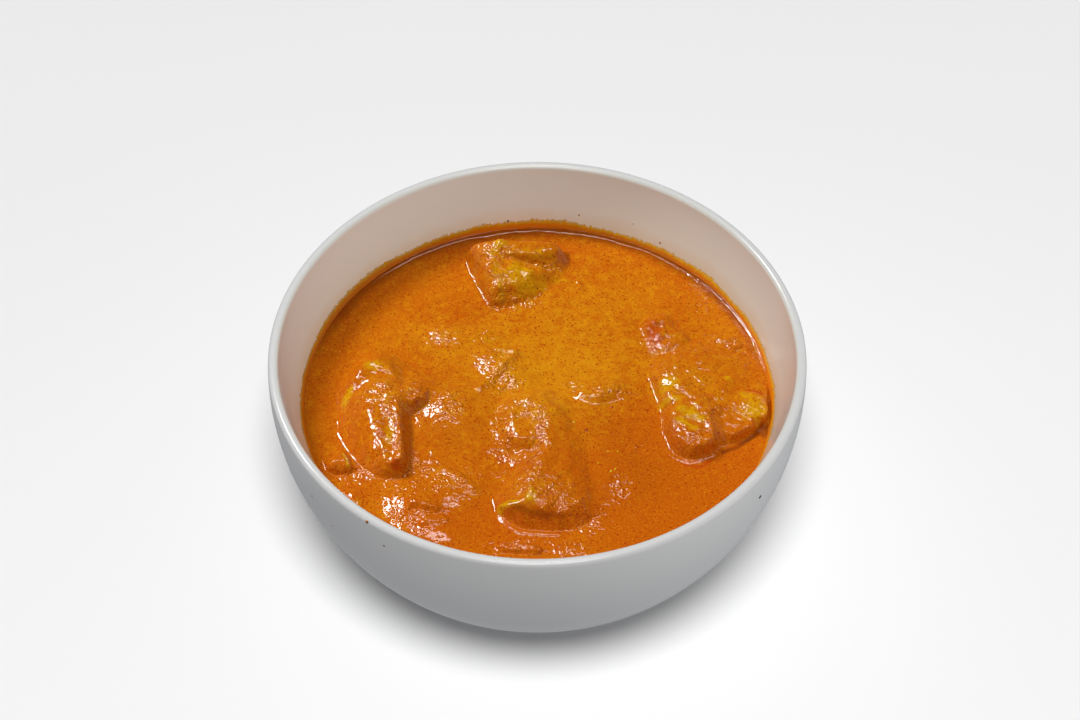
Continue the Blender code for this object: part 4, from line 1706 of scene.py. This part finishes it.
@dataclass
class WallFilm:
    """The thin film of gravy on the wall above the level, with a ragged top.

    It starts as a plain double wall: its one side, which shows, is 1 out, and its hidden side is 2 out.
    """

    bowl: Bowl
    segments: int = 1440
    rows: int = 6
    shown_side: int = 1
    hidden_side: int = 2
    thickness: float = 0.16 * MM
    thinning: int = 3
    into_wall: float = 0.2 * MM
    low: float = 0.2 * MM
    tall: float = 2.6 * MM
    least: float = 0.4 * MM
    noise_radius: float = 66 * MM
    uneven: float = 0.9 * MM
    unevenness: Cloud = Cloud(14 * MM, 2, 5.0)
    ragged: float = 0.4 * MM
    raggedness: Cloud = Cloud(1.3 * MM, 3, 6.0)
    lumps: float = 0.5
    lumpiness: Cloud = Cloud(1.5 * MM, 1, 7.0)

    def build(self, finish: FilmFinish) -> bpy.types.Object:
        """Runs a loop round the bowl up the wall and back down inside it.

        Args:
            finish: its look.

        Returns:
            The piece.
        """
        bm = bmesh.new()
        loop = bmesh.ops.create_circle(bm, segments=self.segments, radius=self.shown_side)["verts"]
        first = ring = list({edge for vertex in loop for edge in vertex.link_edges})
        shown = [row / self.rows for row in range(1, self.rows + 1)]
        path = [(rise, self.shown_side) for rise in shown]
        path += [(rise, self.hidden_side) for rise in shown[::-1] + [0.0]]
        for rise, side in path:
            ring, made = extrude_ring(bm, ring)
            for vertex in made:
                vertex.co = outwards(vertex.co) * side + Vector((0, 0, rise))
        bmesh.ops.bridge_loops(bm, edges=first + ring)
        rises = [vertex.co.z for vertex in bm.verts]
        for vertex in bm.verts:
            vertex.co = self._on_wall(vertex.co)
        bmesh.ops.recalc_face_normals(bm, faces=bm.faces)
        mesh = mesh_from(bm, "gravy_film")
        set_attribute(mesh, "rise", np.array(rises))
        return finish_piece(mesh, "gravy_film", finish.make(), Slot.GRAVY)

    def _on_wall(self, point: Vector) -> Vector:
        """Puts a point of the plain double wall on the bowl's wall.

        Args:
            point: the point, as 1 or 2 out and 0 to 1 up.

        Returns:
            Its place.
        """
        rise = point.z
        hidden = math.hypot(point.x, point.y) > (self.shown_side + self.hidden_side) / 2
        out = outwards(point)
        spot = out * self.noise_radius
        tall = self.tall + self.uneven * self.unevenness.at(spot) + self.ragged * self.raggedness.at(spot)
        height = self.bowl.gravy_height + self.low + rise * max(tall, self.least)
        lumps = 1 + self.lumps * self.lumpiness.at(spot + Vector((0, 0, height)))
        skin = self.thickness * (1 - rise**self.thinning) * lumps
        radius = self.bowl.wall_radius(height) + (self.into_wall if hidden else -skin)
        return out * radius + Vector((0, 0, height))


class Crumb(Enum):
    """The kinds of tiny pieces on the bowl and the food, by the names that they have in the scene."""

    DRIED = "dried_drops"
    DARK = "dark_specks"
    YELLOW = "yellow_crumbs"
    RED = "red_flecks"


@dataclass(frozen=True)
class Speck:
    """A tiny piece, placed by the photo's pixel that it shows at. Its width is in millimetres."""

    kind: Crumb
    pixel: Place
    width: float


SPECKS = (
    Speck(Crumb.DARK, (760, 497), 1.1),
    Speck(Crumb.DARK, (508, 221), 0.7),
    Speck(Crumb.DRIED, (367, 522), 1.0),
    Speck(Crumb.DRIED, (384, 546), 0.7),
    Speck(Crumb.DRIED, (332, 526), 0.6),
    Speck(Crumb.DRIED, (312, 496), 0.6),
    Speck(Crumb.DRIED, (660, 243), 0.7),
    Speck(Crumb.DRIED, (579, 215), 0.5),
    Speck(Crumb.DRIED, (633, 224), 0.4),
    Speck(Crumb.YELLOW, (574, 422), 0.8),
    Speck(Crumb.YELLOW, (608, 451), 0.6),
    Speck(Crumb.YELLOW, (618, 451), 0.6),
    Speck(Crumb.YELLOW, (598, 463), 0.5),
    Speck(Crumb.YELLOW, (611, 471), 0.8),
    Speck(Crumb.YELLOW, (615, 469), 0.7),
    Speck(Crumb.RED, (612, 407), 0.9),
    Speck(Crumb.RED, (586, 430), 1.1),
    Speck(Crumb.RED, (577, 514), 0.7),
    Speck(Crumb.RED, (609, 392), 0.5),
    Speck(Crumb.RED, (445, 413), 0.5),
)


@dataclass
class Specks:
    """Dried drops on the bowl and crumbs on the food, as flattened lumps that sit on what carries them."""

    carriers: list[bpy.types.Mesh]
    flatness: float = 0.35
    uneven: float = 0.35
    lumps: Cloud = Cloud(0.5 * MM)

    def build(self, finishes: dict[Crumb, PlainFinish]) -> list[bpy.types.Object]:
        """Makes one piece of each kind.

        Args:
            finishes: the look of each kind.

        Returns:
            The pieces.
        """
        tree = tree_of(self.carriers)
        made = []
        for kind, finish in finishes.items():
            bm = bmesh.new()
            for speck in (speck for speck in SPECKS if speck.kind is kind):
                self._add(bm, tree, speck)
            mesh = mesh_from(bm, kind.value)
            made.append(finish_piece(mesh, kind.value, finish.make(), Slot.GRAVY))
        return made

    def _add(self, bm: bmesh.types.BMesh, tree: BVHTree, speck: Speck) -> None:
        """Adds a speck where the camera's line through its pixel meets the bowl or the food.

        Args:
            bm: what it is added to.
            tree: the bowl and the food.
            speck: the speck.
        """
        place, normal, _, _ = tree.ray_cast(camera_place(), camera_line(*speck.pixel))
        made = bmesh.ops.create_icosphere(bm, subdivisions=2, radius=speck.width * MM / 2)["verts"]
        for vertex in made:
            vertex.co *= 1 + self.uneven * self.lumps.at(vertex.co + place)
            vertex.co.z *= self.flatness
        turn = normal.to_track_quat("Z", "Y").to_matrix().to_4x4()
        bmesh.ops.transform(bm, matrix=Matrix.Translation(place) @ turn, verts=made)


# --- The studio -----------------------------------------------------------------------------------


@dataclass(frozen=True)
class Lamp:
    """A soft oval light that faces the food. Angles are in degrees. Its strength is on a level surface."""

    name: str
    azimuth: float
    elevation: float
    distance: float
    size: float
    strength: float
    glints: bool = True
    stretch: float = 1.0

    def place(self) -> bpy.types.Object:
        """Adds the light, with the power that gives its strength.

        Returns:
            The light.
        """
        made = add_object(self.name, bpy.data.lights.new(self.name, "AREA"))
        turn = Euler((0, -math.radians(self.elevation), math.radians(self.azimuth)))
        out = turn.to_matrix() @ Vector((1, 0, 0))
        made.location = CAMERA_TARGET + out * self.distance
        made.rotation_euler = out.to_track_quat("Z", "Y").to_euler()
        made.data.shape = "ELLIPSE"
        made.data.size = self.size * self.stretch
        made.data.size_y = self.size
        made.visible_glossy = self.glints
        slant = math.sin(math.radians(self.elevation))
        made.data.energy = self.strength * (math.pi * self.distance) ** 2 / slant
        return made


# On the food: a strong light from the back left, a long narrow one overhead, and a soft one in front.
FOOD_LAMPS = (
    Lamp("key", 140, 49, 1.2, 0.35, 0.50),
    Lamp("overhead", 90, 82, 1.0, 0.10, 0.27, stretch=12),
    Lamp("front", -90, 60, 1.2, 0.8, 0.20, glints=False),
)
# On the bowl.
BOWL_LAMPS = (
    Lamp("key_on_bowl", 140, 49, 1.2, 0.22, 0.29),
    Lamp("overhead_on_bowl", 90, 84, 1.0, 0.20, 0.11),
    Lamp("front_on_bowl", -90, 60, 1.2, 0.8, 0.41),
    Lamp("right_on_bowl", 0, 5, 1.2, 0.8, 0.025, glints=False),
)
FLOOR_LAMP = Lamp("floor_wash", -90, 67, 4.0, 1.5, 1.05)


@dataclass
class Studio:
    """The camera, the lights, the pale surroundings and the pale floor.

    A span gives where a smooth step starts and ends, as the height or the side of the way looked in.
    """

    above: Colour = (0.015,) * 3
    below: Colour = (0.35, 0.355, 0.37)
    horizon: Span = (0.1, -0.15)
    left: float = 0.15
    right: float = 0.32
    side_span: Span = (0.5, 0.95)
    side_top: Span = (0.6, 0.1)
    side_bottom: Span = (-0.35, -0.05)
    floor_radius: float = 3.0
    floor_segments: int = 64
    floor_look: PlainFinish = PlainFinish("pale_floor", (0.9,) * 3, (0.88,) * 3, 0.7, Mottle(0.2))

    def camera(self) -> None:
        """Sets the camera where the photo was taken."""
        made = add_object("camera", bpy.data.cameras.new("camera"))
        made.location = camera_place()
        made.rotation_euler = Euler((math.pi / 2 - CAMERA_ELEVATION, 0, 0))
        made.data.lens = CAMERA_LENS
        made.data.sensor_width = CAMERA_SENSOR
        bpy.context.scene.camera = made

    def floor(self) -> bpy.types.Object:
        """Adds the floor, which throws no light back onto the bowl: the surroundings do that evenly.

        Returns:
            The floor.
        """
        bm = bmesh.new()
        bmesh.ops.create_circle(bm, cap_ends=True, segments=self.floor_segments, radius=self.floor_radius)
        mesh = mesh_from(bm, "floor")
        mesh.materials.append(self.floor_look.make())
        made = add_object("floor", mesh)
        made.visible_diffuse = False
        made.visible_glossy = False
        made.visible_shadow = False
        return made

    def surroundings(self) -> None:
        """Sets the surroundings: dark above, pale below, and brighter at both sides."""
        world = bpy.data.worlds.new("studio")
        recipe = Recipe(world, "Background")
        way = recipe.node("TexCoord", output="Generated")
        up = recipe.axis(way, "Z")
        rightwards = recipe.axis(way, "X")
        level = up.between(*self.side_top) * up.between(*self.side_bottom)
        right = rightwards.between(*self.side_span) * self.right
        left = (rightwards * -1).between(*self.side_span) * self.left
        light = {0: recipe.mix(up.between(*self.horizon), self.above, self.below), 1: (right + left) * level}
        recipe.set(color=recipe.node("VectorMath", {"operation": "ADD"}, light))
        bpy.context.scene.world = world

    def build(self, bowl: bpy.types.Object) -> None:
        """Sets the stage, with its own light on the floor, the bowl and the food.

        Args:
            bowl: the bowl's piece.
        """
        self.camera()
        floor = self.floor()
        self._light("floor", (FLOOR_LAMP,), "INCLUDE", floor)
        self._light("bowl", BOWL_LAMPS, "INCLUDE", bowl)
        self._light("food", FOOD_LAMPS, "EXCLUDE", floor, bowl)
        self.surroundings()
        bpy.context.scene.view_settings.view_transform = "Standard"

    @staticmethod
    def _light(name: str, lamps: tuple[Lamp, ...], state: str, *lit: bpy.types.Object) -> None:
        """Adds lamps that light some pieces alone, or all but those.

        Args:
            name: what they light.
            lamps: the lamps.
            state: "INCLUDE" or "EXCLUDE".
            lit: the pieces.
        """
        group = bpy.data.collections.new(name + "_light")
        for piece in lit:
            group.objects.link(piece)
        for member in group.collection_objects:
            member.light_linking.link_state = state
        for lamp in lamps:
            lamp.place().light_linking.receiver_collection = group


# --- All together ---------------------------------------------------------------------------------

CRUMB_FINISHES = {
    Crumb.DRIED: PlainFinish("dried_gravy", (0.50, 0.20, 0.03), (0.40, 0.12, 0.02)),
    Crumb.DARK: PlainFinish("dark_speck", (0.06, 0.03, 0.02), (0.12, 0.06, 0.03)),
    Crumb.YELLOW: PlainFinish("yellow_crumb", (0.85, 0.58, 0.01), (0.75, 0.40, 0.01), 0.2),
    Crumb.RED: PlainFinish("red_fleck", (0.42, 0.04, 0.005), (0.50, 0.08, 0.005), 0.2),
}


def main() -> None:
    """Builds the whole scene."""
    logging.basicConfig(level=logging.INFO, format="%(name)s: %(message)s")
    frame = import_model()
    low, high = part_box("bowl")
    bowl = Bowl(diameter=high.x - low.x, height=high.z - low.z)
    glazed = bowl.build(StonewareGlaze(bowl.gravy_height, bowl.inner_centre, bowl.inner_radius))
    glazed.visible_glossy = False  # The photo's gravy doesn't mirror the white wall.
    Studio().build(glazed)
    chunks = [Chunk(crust, frame["nodes"][crust.node], bowl) for crust in CRUSTS]
    for chunk in chunks:
        chunk.shape()
    gravy = Gravy(bowl, [chunk for chunk in chunks if chunk.crust.coated]).build(GRAVY)
    surface = tree_of([gravy.data])
    materials = {look: look.make() for look in (PANEER, TOMATO, PEPPER)}
    for chunk in chunks:
        chunk.press(surface)
        chunk.build(materials[chunk.crust.look])
    WallFilm(bowl).build(FilmFinish())
    Specks([glazed.data, gravy.data]).build(CRUMB_FINISHES)
    bpy.context.view_layer.update()


if __name__ == "__main__":
    main()
